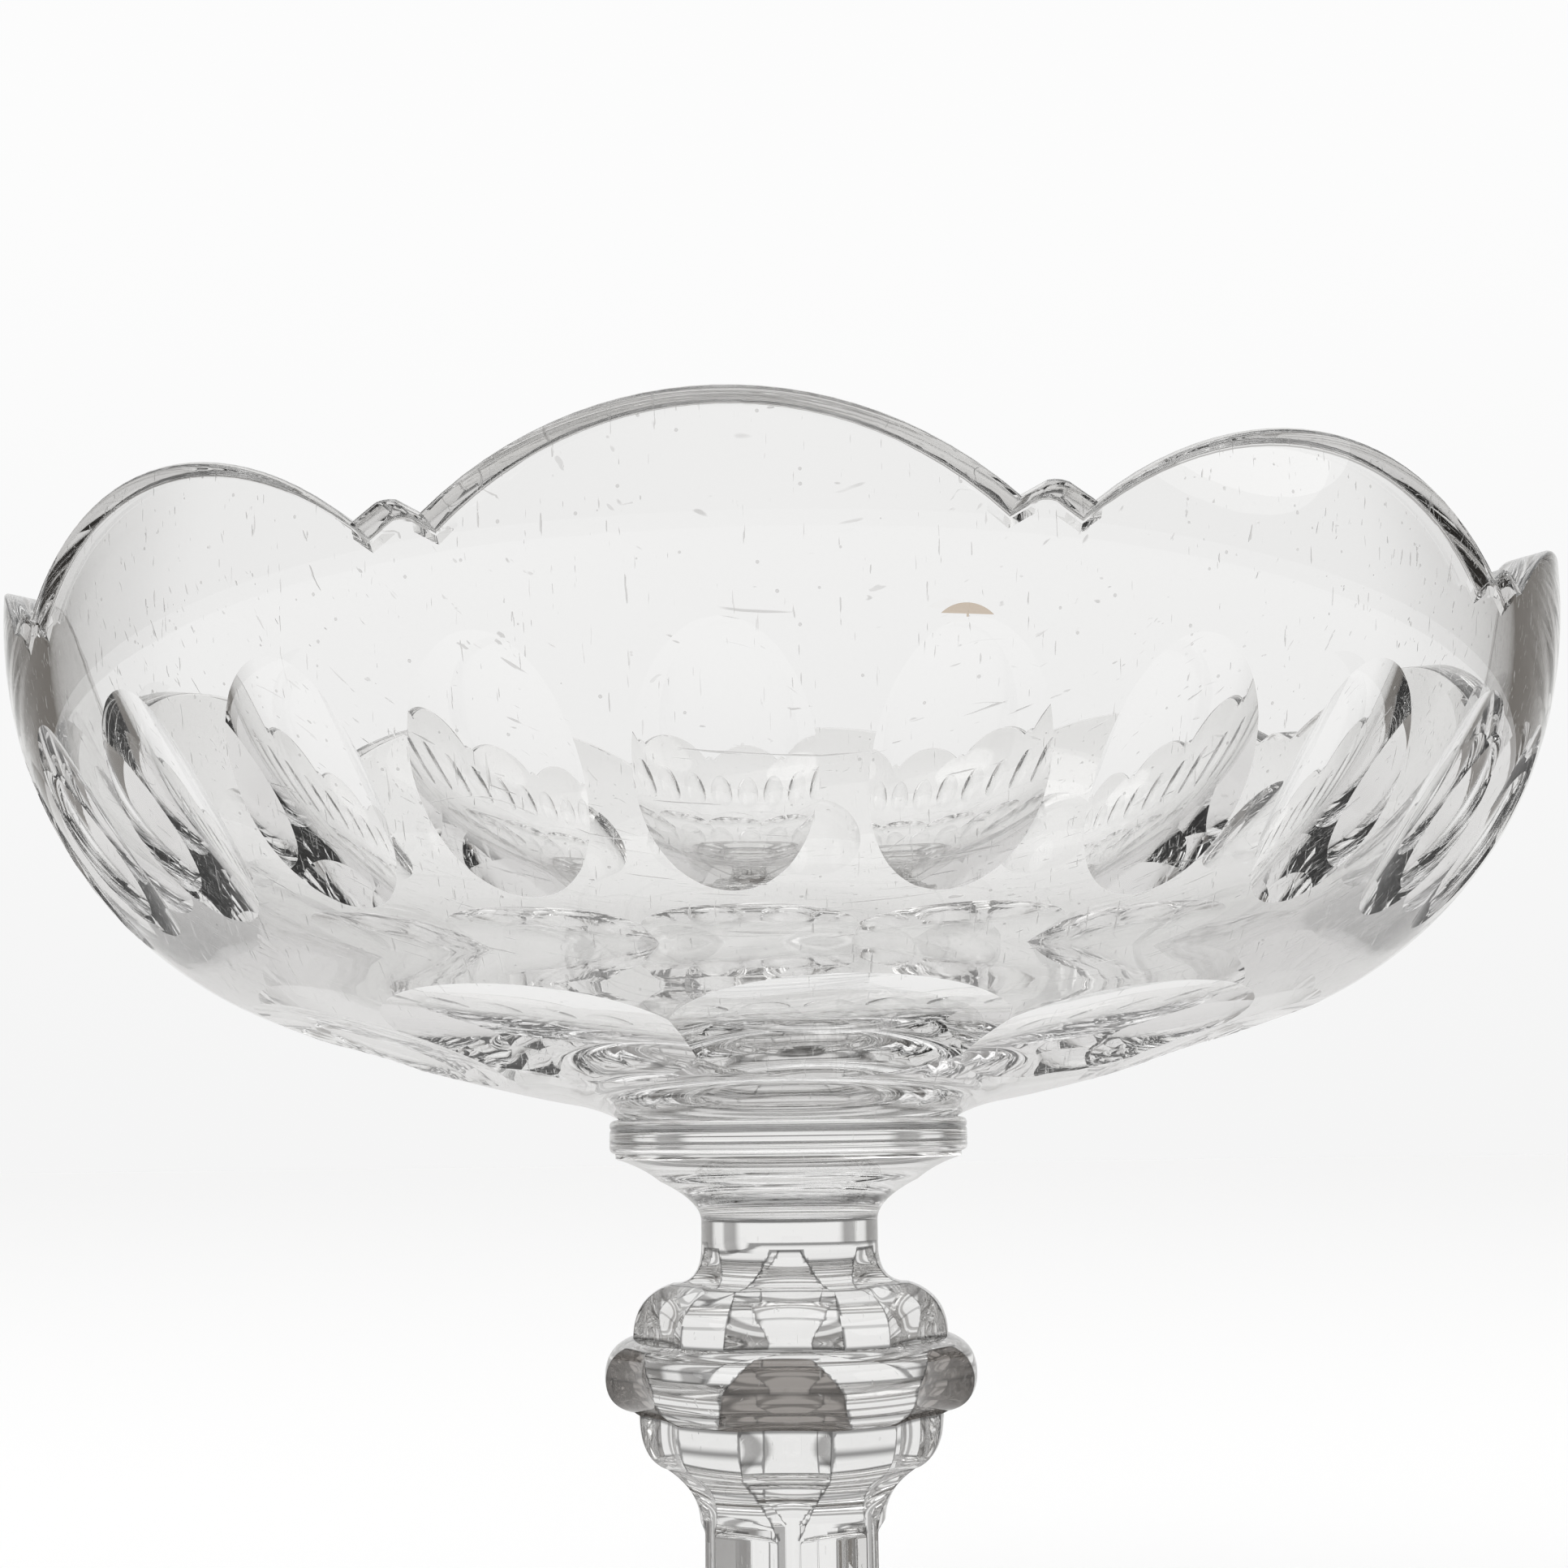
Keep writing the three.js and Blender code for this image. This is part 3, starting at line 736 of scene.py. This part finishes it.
# %% Cutting with tools
def cut_with(mesh, cutters, slots):
    body = bpy.data.objects.new("blank", mesh)
    bpy.context.collection.objects.link(body)
    tools = []
    for part in (mesh, *cutters):
        give_slots(part, slots)
    for index, cutter in enumerate(cutters):
        tool = bpy.data.objects.new(f"tool_{index}", cutter)
        bpy.context.collection.objects.link(tool)
        boolean = body.modifiers.new(tool.name, "BOOLEAN")
        boolean.operation = "DIFFERENCE"
        boolean.solver = "MANIFOLD"
        boolean.object = tool
        tools.append(tool)
    view = bpy.context.evaluated_depsgraph_get()
    result = bpy.data.meshes.new_from_object(body.evaluated_get(view))
    for extra in (body, *tools):
        bpy.data.objects.remove(extra)
    return result

# %% [markdown]
# The bowl has one outline outside and one inside. The outside curls out of the collar, sweeps
# out almost flat, turns at the shoulder and stands upright at the rim. The inside follows it,
# so that the wall stays nearly even. Light then leaves the bowl as it came in, and the bowl
# looks clear. A floor much thicker in the middle traps light and looks dark.

# %% Outlines of the bowl
RIM_WALL = 0.0057
UPRIGHT_HEIGHT = 0.072
SEAT_RADIUS = 0.0256
COVE_CORNER = (0.0285, 0.0017)
UNDER_START = (0.033, 0.0024)
UNDER_START_DEG = 9.2
SHOULDER_START = (0.0849, 0.0187)
SHOULDER_START_DEG = 30.5
FLOOR_MIDDLE = (0, 0.0093)
FLOOR_END = (0.066, 0.0184)
FLOOR_END_DEG = 19
UNDER_PULL = (0.11, 0.29)
SHOULDER_PULL = (0.42, 0.31)
FLOOR_PULL = (0.4, 0.3)
INNER_PULL = (0.42, 0.42)
rim_outer = (rim_radius, UPRIGHT_HEIGHT)
rim_inner = (rim_radius - RIM_WALL, UPRIGHT_HEIGHT)
base_cove = bend((SEAT_RADIUS, 0), COVE_CORNER, UNDER_START, 5)
underside = sweep(UNDER_START, UNDER_START_DEG, SHOULDER_START, SHOULDER_START_DEG, UNDER_PULL, 24)
shoulder = sweep(SHOULDER_START, SHOULDER_START_DEG, rim_outer, 90, SHOULDER_PULL, 60)
floor_face = sweep(FLOOR_MIDDLE, 0, FLOOR_END, FLOOR_END_DEG, FLOOR_PULL, 24)
inner_wall = sweep(FLOOR_END, FLOOR_END_DEG, rim_inner, 90, INNER_PULL, 60)
outer_outline = joined(base_cove, underside, shoulder)
inner_outline = joined(floor_face, inner_wall)
print("outer outline", len(outer_outline), "points, inner outline", len(inner_outline))

# %% [markdown]
# The rim is cut into ten lobes. Two small V notches with a tab between them part each pair. A
# table of angle and height gives the rim all the way round. Each angle has only one height, so
# the top rows of the grid can follow the table, and the rim needs no boolean.

# %% The lobed rim
LOBES = 10
LOBE_PHASE = math.radians(-93.4)
LOBE_RISE = 0.0114
LOBE_COLUMNS = 26
NOTCH_HALF = math.radians(2.1)
NOTCH_BREAK = 0.65 * NOTCH_HALF
TAB_RISE = 0.0018
TAB_CROWN = 0.00015
TAB_ROUND = math.radians(0.6)
TAB_TURNS = (-NOTCH_BREAK, -TAB_ROUND, -TAB_ROUND / 3, TAB_ROUND / 3, TAB_ROUND, NOTCH_BREAK)


def rim_table():
    pitch = 2 * math.pi / LOBES
    half = pitch / 2 - NOTCH_HALF
    chord = half * rim_radius
    arch = (chord ** 2 + LOBE_RISE ** 2) / (2 * LOBE_RISE)
    angles = []
    heights = []
    for lobe in range(LOBES):
        middle = LOBE_PHASE + lobe * pitch
        across = np.linspace(-chord, chord, LOBE_COLUMNS + 1)
        angles.extend(middle + across / rim_radius)
        heights.extend(bowl_top - arch + np.sqrt(arch ** 2 - across ** 2))
        for turn in TAB_TURNS:
            rise = min(1, (NOTCH_HALF - abs(turn)) / (NOTCH_HALF - TAB_ROUND))
            crown = TAB_CROWN if abs(turn) < TAB_ROUND else 0
            angles.append(middle + pitch / 2 + turn)
            heights.append(bowl_top - LOBE_RISE + TAB_RISE * rise + crown)
    return np.array(angles), np.array(heights)


rim_angles, rim_heights = rim_table()
print("rim columns:", len(rim_angles), "heights", rim_heights.min(), rim_heights.max())

# %% [markdown]
# Now the bowl's blank. Rows run up the outer face, over the rim with its softened edges, and
# down the inner face to the middle of the floor. Below the split height they are plain circles,
# and above it they stretch to follow the lobes.

# %% The bowl before cutting
OUTER, INNER, RIM, OVAL, UNDER, JOINT = range(6)
SPLIT_HEIGHT = 0.0535
SPLIT_GAP = 0.0004
RIM_FALL = 0.0007
RIM_EDGE = 0.0006
WALL_ROWS = 12
EDGE_ROWS = 5


def radius_at(outline, height):
    return np.interp(height, outline[:, 1], outline[:, 0])


def wall_rows(outline, top, shares):
    for share in shares:
        z = bowl_base + SPLIT_HEIGHT + (top - bowl_base - SPLIT_HEIGHT) * share
        yield radius_at(outline, z - bowl_base), z


def bowl_blank():
    ones = np.ones(len(rim_angles))
    low_out, low_in = (outline[outline[:, 1] < SPLIT_HEIGHT - SPLIT_GAP]
                       for outline in (outer_outline, inner_outline))
    rows = [(ones * r, ones * (z + bowl_base)) for r, z in low_out]
    kinds = [JOINT] + [OUTER] * (len(low_out) - 1)
    top_out = rim_heights - RIM_EDGE
    top_in = rim_heights - RIM_FALL - RIM_EDGE
    shares = np.linspace(0, 1, WALL_ROWS)
    rows += list(wall_rows(outer_outline, top_out, shares))
    kinds += [OUTER] * WALL_ROWS
    inner_radius = rim_radius - RIM_WALL
    quarter = np.linspace(0, math.pi / 2, EDGE_ROWS)
    for turn in quarter[1:]:
        inset = RIM_EDGE * (1 - math.cos(turn))
        rows.append((ones * (rim_radius - inset), top_out + RIM_EDGE * math.sin(turn)))
    for turn in quarter[::-1]:
        inset = RIM_EDGE * (1 - math.cos(turn))
        rows.append((ones * (inner_radius + inset), top_in + RIM_EDGE * math.sin(turn)))
    kinds += [RIM] * (2 * EDGE_ROWS - 1)
    rows += list(wall_rows(inner_outline, top_in, shares[-2::-1]))
    kinds += [INNER] * (WALL_ROWS - 1)
    rows += [(ones * r, ones * (z + bowl_base)) for r, z in low_in[:0:-1]]
    kinds += [INNER] * len(low_in)
    radii = np.array([r for r, z in rows])
    heights = np.array([z for r, z in rows])
    return grid_mesh("bowl_blank", rim_angles, radii, heights,
                     bowl_base, bowl_base + inner_outline[0, 1], kinds)


blank = bowl_blank()
print("bowl blank:", len(blank.polygons), "faces")

# %% [markdown]
# The ovals round the shoulder and the broad cuts underneath were ground on a rounded stone.
# The stone's working face is a piece of an ellipsoid, so each cut is a shallow dish with a
# crisp edge. Its matrix turns a unit sphere into that ellipsoid, pressed to its depth. The
# place of a cut is its share of the way along the outline, and across and along are the radii
# to which the stone is rounded in the two directions.

# %% The cutting stones
OVAL_CUT = {"count": 26, "phase": LOBE_PHASE, "place": 0.37, "depth": 0.003,
            "across": 0.02, "along": 0.18}
UNDER_CUT = {"count": 10, "phase": math.radians(-84.1), "place": 0.62, "depth": 0.0024,
             "across": 0.17, "along": 0.105}
STONE_OVERCUT = 0.0006


def stone_matrix(outline, cut):
    spot = cut["place"] * (len(outline) - 1)
    low = int(spot)
    point = outline[low] + (outline[low + 1] - outline[low]) * (spot - low)
    along = outline[low + 1] - outline[low]
    along = along / np.linalg.norm(along)
    inward = np.array([-along[1], along[0]])
    reach = cut["across"]
    long_half = math.sqrt(cut["along"] * reach)
    centre = point - inward * (reach - cut["depth"])
    return Matrix((
        (0, along[0] * long_half, inward[0] * reach, centre[0]),
        (-reach, 0, 0, 0),
        (0, along[1] * long_half, inward[1] * reach, centre[1] + bowl_base),
        (0, 0, 0, 1),
    ))


def stone_caps(name, outline, cut, picks, slot, around, rings):
    reach = math.acos(1 - (cut["depth"] + STONE_OVERCUT) / cut["across"])
    points = []
    faces = []
    for index in picks:
        turn = Matrix.Rotation(cut["phase"] + 2 * math.pi * index / cut["count"], 4, "Z")
        place = turn @ stone_matrix(outline, cut)
        first = len(points)
        points.append(place @ Vector((0, 0, 1)))
        for ring in range(1, rings + 1):
            tilt = reach * ring / rings
            for step in range(around):
                spin = 2 * math.pi * step / around
                points.append(place @ Vector((math.sin(tilt) * math.cos(spin),
                                              math.sin(tilt) * math.sin(spin), math.cos(tilt))))
        points.append(place @ Vector((0, 0, math.cos(reach))))
        last = len(points) - 1
        edge = first + 1 + (rings - 1) * around
        for step in range(around):
            after = (step + 1) % around
            faces.append((first, first + 1 + step, first + 1 + after))
            for ring in range(rings - 1):
                low = first + 1 + ring * around
                faces.append((low + step, low + around + step, low + around + after, low + after))
            faces.append((edge + step, last, edge + after))
    mesh = bpy.data.meshes.new(name)
    mesh.from_pydata([tuple(p) for p in points], [], faces)
    mesh.polygons.foreach_set("material_index", [slot] * len(faces))
    mesh.update()
    return mesh

# %% [markdown]
# The normal on a cut is that of the stone. The rule turns a point back to the first cut, moves
# it into the stone's own space, where the stone is a sphere, and brings the direction back.

# %% True normals of a cut
def stone_rule(outline, cut):
    back = np.linalg.inv(np.array(stone_matrix(outline, cut)))

    def rule(points, centres):
        pitch = 2 * math.pi / cut["count"]
        index = np.round((np.arctan2(centres[:, 1], centres[:, 0]) - cut["phase"]) / pitch)
        turn = cut["phase"] + index * pitch
        c, s = np.cos(turn), np.sin(turn)
        level = np.stack([points[:, 0] * c + points[:, 1] * s, points[:, 1] * c - points[:, 0] * s,
                          points[:, 2], np.ones(len(points))], axis=1)
        local = level @ back.T
        flat = -(local[:, :3] @ back[:3, :3])
        flat /= np.linalg.norm(flat, axis=1)[:, None]
        x, y, z = flat.T
        return np.stack([x * c - y * s, x * s + y * c, z], axis=1)
    return rule

# %% [markdown]
# Neighbouring cuts on the underside touch, so they are made in two turns round the bowl, every
# second cut each time. Each tool then holds only caps that stay clear of each other.

# %% Cut the bowl
BOWL_CREASE_DEG = 24
under_cut = wheel_cut.copy()
under_cut.name = "under_cut_glass"
bowl_slots = [outside, inside, rim_glass, wheel_cut, under_cut, fused]
every_oval = range(OVAL_CUT["count"])
even_cuts = range(0, UNDER_CUT["count"], 2)
odd_cuts = range(1, UNDER_CUT["count"], 2)
bowl_mesh = cut_with(blank, [
    stone_caps("oval_stones", shoulder, OVAL_CUT, every_oval, OVAL, around=64, rings=8),
    stone_caps("under_stones_a", underside, UNDER_CUT, even_cuts, UNDER, around=96, rings=10),
    stone_caps("under_stones_b", underside, UNDER_CUT, odd_cuts, UNDER, around=96, rings=10),
], bowl_slots)
set_normals(bowl_mesh, {
    OUTER: turned_rule(outer_outline, bowl_base),
    INNER: turned_rule(inner_outline, bowl_base, -1),
    OVAL: stone_rule(shoulder, OVAL_CUT),
    UNDER: stone_rule(underside, UNDER_CUT),
    JOINT: lambda points, centres: np.tile([0.0, 0.0, -1.0], (len(points), 1)),
}, BOWL_CREASE_DEG)
make_piece("cut_bowl", bowl_mesh, bowl_slots, "bowl")

# %% [markdown]
# The collar is a disc of glass pressed between the bowl and the capital, with softly rounded
# edges. Two fine grooves left by the tool run round it, and a dark line of painted shade is
# drawn along each. Each groove has a height, a depth, half its width and the reach of its
# painted shade.

# %% Collar
FUSED = 1
COLLAR_EDGE = 0.0012
TOP_EDGE_SHARE = 0.8
GROOVE_SHALLOW = 0.2
GROOVE_NARROW = 0.4
COLLAR_GROOVES = ((0.0017, 0.00008, 0.0002, 0.0004), (0.0036, 0.0002, 0.0005, 0.0013))
collar_height = bowl_base - capital_top


def groove(height, depth, half_width):
    deep = (collar_radius - depth, height)
    shallow = collar_radius - depth * GROOVE_SHALLOW
    narrow = half_width * GROOVE_NARROW
    low = bend((collar_radius, height - half_width), (shallow, height - narrow), deep, 5)
    high = bend(deep, (shallow, height + narrow), (collar_radius, height + half_width), 5)
    return joined(low, high)


collar_outline = joined(
    bend((collar_radius - COLLAR_EDGE, 0), (collar_radius, 0), (collar_radius, COLLAR_EDGE), 8),
    *(groove(height, depth, half_width) for height, depth, half_width, reach in COLLAR_GROOVES),
    bend((collar_radius, collar_height - COLLAR_EDGE * TOP_EDGE_SHARE), (collar_radius, collar_height),
         (collar_radius - COLLAR_EDGE, collar_height), 8),
)
collar_mesh = turned_mesh("collar_disc", collar_outline, capital_top, 144, FUSED, FUSED)
set_normals(collar_mesh, {})
mark_shade_bands(collar_mesh, capital_top,
             [(height, reach, 1) for height, depth, half_width, reach in COLLAR_GROOVES])
make_piece("collar_disc", collar_mesh, [stem_turned, fused], "collar")

# %% [markdown]
# The capital has a thin lip and draws in through two coves to the neck. It is turned as the
# collar is. A band of painted shade lies round its cove and another round the joint with the neck.

# %% Capital
NECK_RADIUS = 0.0133
LIP_RADIUS = 0.0262
LIP_HEIGHT = 0.0007
LIP_COVE_HEIGHT = 0.0034
LIP_COVE_CORNER = (0.0222, 0.0022)
COVE_TOP_RADIUS = 0.0195
# Bands of painted shade on the capital: height, reach and strength.
CAPITAL_SHADE_BANDS = ((0.0034, 0.0017, 1), (0.0006, 0.001, 0.9))
capital_height = capital_top - stem_top
lip_low = capital_height - LIP_HEIGHT
cove_low = lip_low - LIP_COVE_HEIGHT
lip_corner = (LIP_COVE_CORNER[0], cove_low + LIP_COVE_CORNER[1])
capital_outline = joined(
    bend((NECK_RADIUS, 0), (NECK_RADIUS, cove_low / 2), (COVE_TOP_RADIUS, cove_low), 32),
    bend((COVE_TOP_RADIUS, cove_low), lip_corner, (LIP_RADIUS, lip_low), 8),
    straight_run((LIP_RADIUS, lip_low), (LIP_RADIUS, capital_height)),
)
capital_mesh = turned_mesh("coved_capital", capital_outline, stem_top, 144, FUSED, FUSED)
set_normals(capital_mesh, {})
mark_shade_bands(capital_mesh, stem_top, CAPITAL_SHADE_BANDS)
make_piece("coved_capital", capital_mesh, [stem_turned, fused], "capital")

# %% [markdown]
# The stem is one gather, turned to a neck, a bulb, a ring and a knop above a straight column.
# The outline is written from the bottom up, in heights below the top of the stem.

# %% Outline of the stem
BULB_TOP = -0.0037
BULB_HEIGHT = 0.0131
RING_HEIGHT = 0.0109
KNOP_HEIGHT = 0.016
BULB_RADIUS = 0.0235
RING_RADIUS = 0.02765
KNOP_RADIUS = 0.0226
COLUMN_RADIUS = 0.0136
RING_SHOULDER = 0.001
BULB_SWELL = 0.0016
BULB_COVE_DROP = 0.0055
KNOP_SWELL = 0.0015
KNOP_COVE_DROP = 0.0078
COLUMN_FLARE = 0.0032
RING_TOP = BULB_TOP - BULB_HEIGHT
KNOP_TOP = RING_TOP - RING_HEIGHT
COLUMN_TOP = KNOP_TOP - KNOP_HEIGHT
BULB_COVE = (0.0179, BULB_TOP - BULB_COVE_DROP)
KNOP_COVE = (0.0185, KNOP_TOP - KNOP_COVE_DROP)
RING_MIDDLE = (RING_RADIUS, (RING_TOP + KNOP_TOP) / 2)
CURVE_STEPS = 14
column_low = foot_top - stem_top
knop_cove = bend((COLUMN_RADIUS, COLUMN_TOP), (COLUMN_RADIUS, KNOP_COVE[1] - COLUMN_FLARE),
                 KNOP_COVE, CURVE_STEPS)
knop = bend(KNOP_COVE, (KNOP_RADIUS, KNOP_COVE[1] + KNOP_SWELL), (KNOP_RADIUS, KNOP_TOP), CURVE_STEPS)
ring_foot = bend((KNOP_RADIUS, KNOP_TOP), (RING_RADIUS, KNOP_TOP + RING_SHOULDER),
                 RING_MIDDLE, CURVE_STEPS)
ring_top = bend(RING_MIDDLE, (RING_RADIUS, RING_TOP - RING_SHOULDER),
                (BULB_RADIUS, RING_TOP), CURVE_STEPS)
bulb = bend((BULB_RADIUS, RING_TOP), (BULB_RADIUS, BULB_COVE[1] - BULB_SWELL), BULB_COVE, CURVE_STEPS)
bulb_cove = bend(BULB_COVE, (NECK_RADIUS, BULB_COVE[1]), (NECK_RADIUS, BULB_TOP), CURVE_STEPS)
stem_outline = joined(
    straight_run((COLUMN_RADIUS, column_low), (COLUMN_RADIUS, COLUMN_TOP), 40),
    knop_cove, knop, ring_foot, ring_top, bulb, bulb_cove,
    straight_run((NECK_RADIUS, BULB_TOP), (NECK_RADIUS, 0), 12),
)
print("stem outline:", len(stem_outline), "points")

# %% [markdown]
# Six panels run down the stem, each ground on the rounded edge of a wheel, so it is slightly
# hollow and draws what lies behind it into curved lines. The line of the cut follows from how
# wide the panel is at each height: it widens from the neck to the ring, leaves an arched cut on
# the ring, narrows down the knop and runs on as a strip. Six broad flats between the strips
# face the column. The values named half are half the width of the cut at that place.

# %% Cutting lines of the panels
PANELS = 6
PANEL_PHASE = math.radians(-92.5)
PANEL_HOLLOW = 0.024
STRIP_HALF = 0.0015
KNOP_COVE_HALF = 0.0059
KNOP_HALF = 0.0066
RING_FOOT_HALF = 0.0094
RING_MIDDLE_HALF = 0.0084
RING_TOP_HALF = 0.002
BULB_HALF = 0.0085
BULB_COVE_HALF = 0.007
NECK_HALF = 0.0023
FLAT_HALF = 0.0053
FLAT_END = (0.0146, 0.0012)
FLAT_TURN_BELOW = 0.0006
FLAT_TURN_ABOVE = 0.0004
ARCH_STEPS = 4
TOOL_OVERRUN = 0.004


def flat_at(radius, half_width):
    return np.sqrt(np.maximum(radius ** 2 - half_width ** 2, 0))


def hollow_line(points, first, last):
    half = np.linspace(first, last, len(points))
    middle = flat_at(points[:, 0], half) - half ** 2 / (2 * PANEL_HOLLOW)
    return np.stack([middle, points[:, 1]], axis=1)


panel_line = np.vstack([
    [(flat_at(COLUMN_RADIUS, STRIP_HALF), column_low - TOOL_OVERRUN)],
    hollow_line(knop_cove, STRIP_HALF, KNOP_COVE_HALF),
    hollow_line(knop, KNOP_COVE_HALF, KNOP_HALF)[1:],
    hollow_line(ring_foot, RING_FOOT_HALF, RING_MIDDLE_HALF)[1:],
    hollow_line(ring_top, RING_MIDDLE_HALF, RING_TOP_HALF)[1:-ARCH_STEPS],
    [(RING_RADIUS, RING_TOP), (BULB_RADIUS, RING_TOP)],
    hollow_line(bulb, BULB_HALF, BULB_COVE_HALF),
    hollow_line(bulb_cove, BULB_COVE_HALF, NECK_HALF)[1:],
])
side_flat = flat_at(COLUMN_RADIUS, FLAT_HALF)
side_end = (FLAT_END[0], COLUMN_TOP + FLAT_END[1])
side_line = np.vstack([
    [(side_flat, column_low - TOOL_OVERRUN)],
    bend((side_flat, COLUMN_TOP - FLAT_TURN_BELOW), (side_flat, COLUMN_TOP + FLAT_TURN_ABOVE), side_end, 10),
])
print("panel line:", len(panel_line), "points")

# %% [markdown]
# A panel's tool is everything outside its cutting line, a block as wide as it needs to be, with
# a face that bulges towards the axis where the cut is hollow. Its faces at the ring bring the
# slot of the ring's own finish.

# %% Panel tools
PANEL, BROAD, STEM_JOINT, RING_CUT = 1, 2, 3, 4
TOOL_REACH = 0.036
RING_MARGIN = 0.0002


def block_outside(name, line, turn, half_width, slot, hollow=None, stations=2):
    profile = np.vstack([line, [(TOOL_REACH, line[-1, 1]), (TOOL_REACH, line[0, 1])]])
    count = len(profile)
    cutting = np.r_[np.ones(len(line)), 0, 0]
    direction = np.array([math.cos(turn), math.sin(turn)])
    across = np.array([-direction[1], direction[0]])
    points = []
    for side in np.linspace(-half_width, half_width, stations):
        rise = side ** 2 / (2 * hollow) if hollow else 0
        for (distance, height), on_face in zip(profile, cutting):
            x, y = direction * (distance + rise * on_face) + across * side
            points.append((x, y, height + stem_top))
    order = list(range(count))
    last = (stations - 1) * count
    faces = [order[::-1], [last + i for i in order]]
    slots = [slot, slot]
    for step in range(stations - 1):
        low = step * count
        high = low + count
        for i in order:
            after = (i + 1) % count
            faces.append([low + i, low + after, high + after, high + i])
            middle = (profile[i, 1] + profile[after, 1]) / 2
            on_ring = slot == PANEL and KNOP_TOP < middle < RING_TOP - RING_MARGIN
            slots.append(RING_CUT if on_ring else slot)
    mesh = bpy.data.meshes.new(name)
    mesh.from_pydata(points, [], faces)
    mesh.polygons.foreach_set("material_index", slots)
    mesh.update()
    return mesh

# %% [markdown]
# The normals of the new faces come from the same line and the same hollow, turned back to the
# nearest panel.

# %% True normals of a panel
def panel_rule(line, phase, hollow=None):
    def rule(points, centres):
        pitch = 2 * math.pi / PANELS
        index = np.round((np.arctan2(centres[:, 1], centres[:, 0]) - phase) / pitch)
        turn = phase + index * pitch
        c, s = np.cos(turn), np.sin(turn)
        side = points[:, 1] * c - points[:, 0] * s
        rise = side ** 2 / (2 * hollow) if hollow else 0
        spots, middles = (np.stack([p[:, 0] * c + p[:, 1] * s - rise, p[:, 2] - stem_top], axis=1)
                          for p in (points, centres))
        flat = nearest_normals(spots, middles, line)
        lean = -flat[:, 0] * side / hollow if hollow else np.zeros(len(side))
        result = np.stack([flat[:, 0] * c - lean * s, flat[:, 0] * s + lean * c, flat[:, 1]], axis=1)
        return result / np.linalg.norm(result, axis=1)[:, None]
    return rule

# %% [markdown]
# Twelve tools cut the stem, six for the panels and six for the flats between them. Then painted
# shade is marked on its arrises, and five soft bands of painted shade round the bulb's cove, the
# ring and the knop.

# %% Cut the stem
PANEL_TOOL_HALF = 0.013
PANEL_TOOL_STATIONS = 27
FLAT_TOOL_HALF = 0.012
JOINT_MARGIN = 0.0002
# Bands of painted shade on the stem: height, reach and strength.
TURNED_SHADE_BANDS = ((BULB_TOP - 0.0017, 0.0012, 0.8), (RING_TOP - 0.0058, 0.0009, 0.7),
                (RING_TOP - 0.0088, 0.001, 0.8), (KNOP_TOP - 0.0032, 0.0018, 0.8),
                (KNOP_TOP - 0.0098, 0.0009, 0.8))
between = PANEL_PHASE + math.pi / PANELS
tools = []
for index in range(PANELS):
    turn = 2 * math.pi * index / PANELS
    tools.append(block_outside(f"panel_{index}", panel_line, PANEL_PHASE + turn, PANEL_TOOL_HALF,
                               PANEL, PANEL_HOLLOW, PANEL_TOOL_STATIONS))
    tools.append(block_outside(f"broad_{index}", side_line, between + turn, FLAT_TOOL_HALF, BROAD))
stem_blank = turned_mesh("stem_blank", stem_outline, stem_top, 180, STEM_JOINT, STEM_JOINT)
column_flat = stem_cut.copy()
column_flat.name = "column_flat_glass"
stem_slots = [stem_turned, stem_cut, column_flat, fused, ring_cut]
stem_mesh = cut_with(stem_blank, tools, stem_slots)
set_normals(stem_mesh, {
    0: turned_rule(stem_outline, stem_top),
    PANEL: panel_rule(panel_line, PANEL_PHASE, PANEL_HOLLOW),
    RING_CUT: panel_rule(panel_line, PANEL_PHASE, PANEL_HOLLOW),
    BROAD: panel_rule(side_line, between),
})
mark_arris_shade(stem_mesh, foot_top + JOINT_MARGIN, stem_top - JOINT_MARGIN, stem_top, TURNED_SHADE_BANDS)
make_piece("panelled_stem", stem_mesh, stem_slots, "stem")

# %% [markdown]
# The foot is outside the photograph, so it is kept plain: a round foot that sweeps up to the
# column, with a soft edge and a shallow dish ground under it.

# %% Foot
FOOT_EDGE = 0.005
FOOT_FLARE = 0.004
DISH_DEPTH = 0.0018
DISH_MIDDLE = 0.020
DISH_RADIUS = 0.0462
DISH_CORNER = 0.0474
REST_INNER = 0.048
REST_OUTER = 0.061
NECK_FILLET = 0.0004
foot_neck = COLUMN_RADIUS + NECK_FILLET
foot_outline = joined(
    straight_run((DISH_MIDDLE, DISH_DEPTH), (DISH_RADIUS, DISH_DEPTH), 4),
    bend((DISH_RADIUS, DISH_DEPTH), (DISH_CORNER, DISH_DEPTH), (REST_INNER, 0), 5),
    straight_run((REST_INNER, 0), (REST_OUTER, 0), 2),
    bend((REST_OUTER, 0), (foot_radius, 0), (foot_radius, FOOT_EDGE / 2), 8),
    bend((foot_radius, FOOT_EDGE / 2), (foot_radius, FOOT_EDGE), (REST_OUTER, FOOT_EDGE), 8),
    cubic((REST_OUTER, FOOT_EDGE), (foot_radius / 2, FOOT_EDGE + FOOT_FLARE),
          (foot_neck, foot_top / 2), (foot_neck, foot_top), 40),
)
foot_mesh = turned_mesh("spread_foot", foot_outline, 0, 180, 0, FUSED)
set_normals(foot_mesh, {0: turned_rule(foot_outline, 0)})
make_piece("spread_foot", foot_mesh, [stem_turned.copy(), fused], "foot")
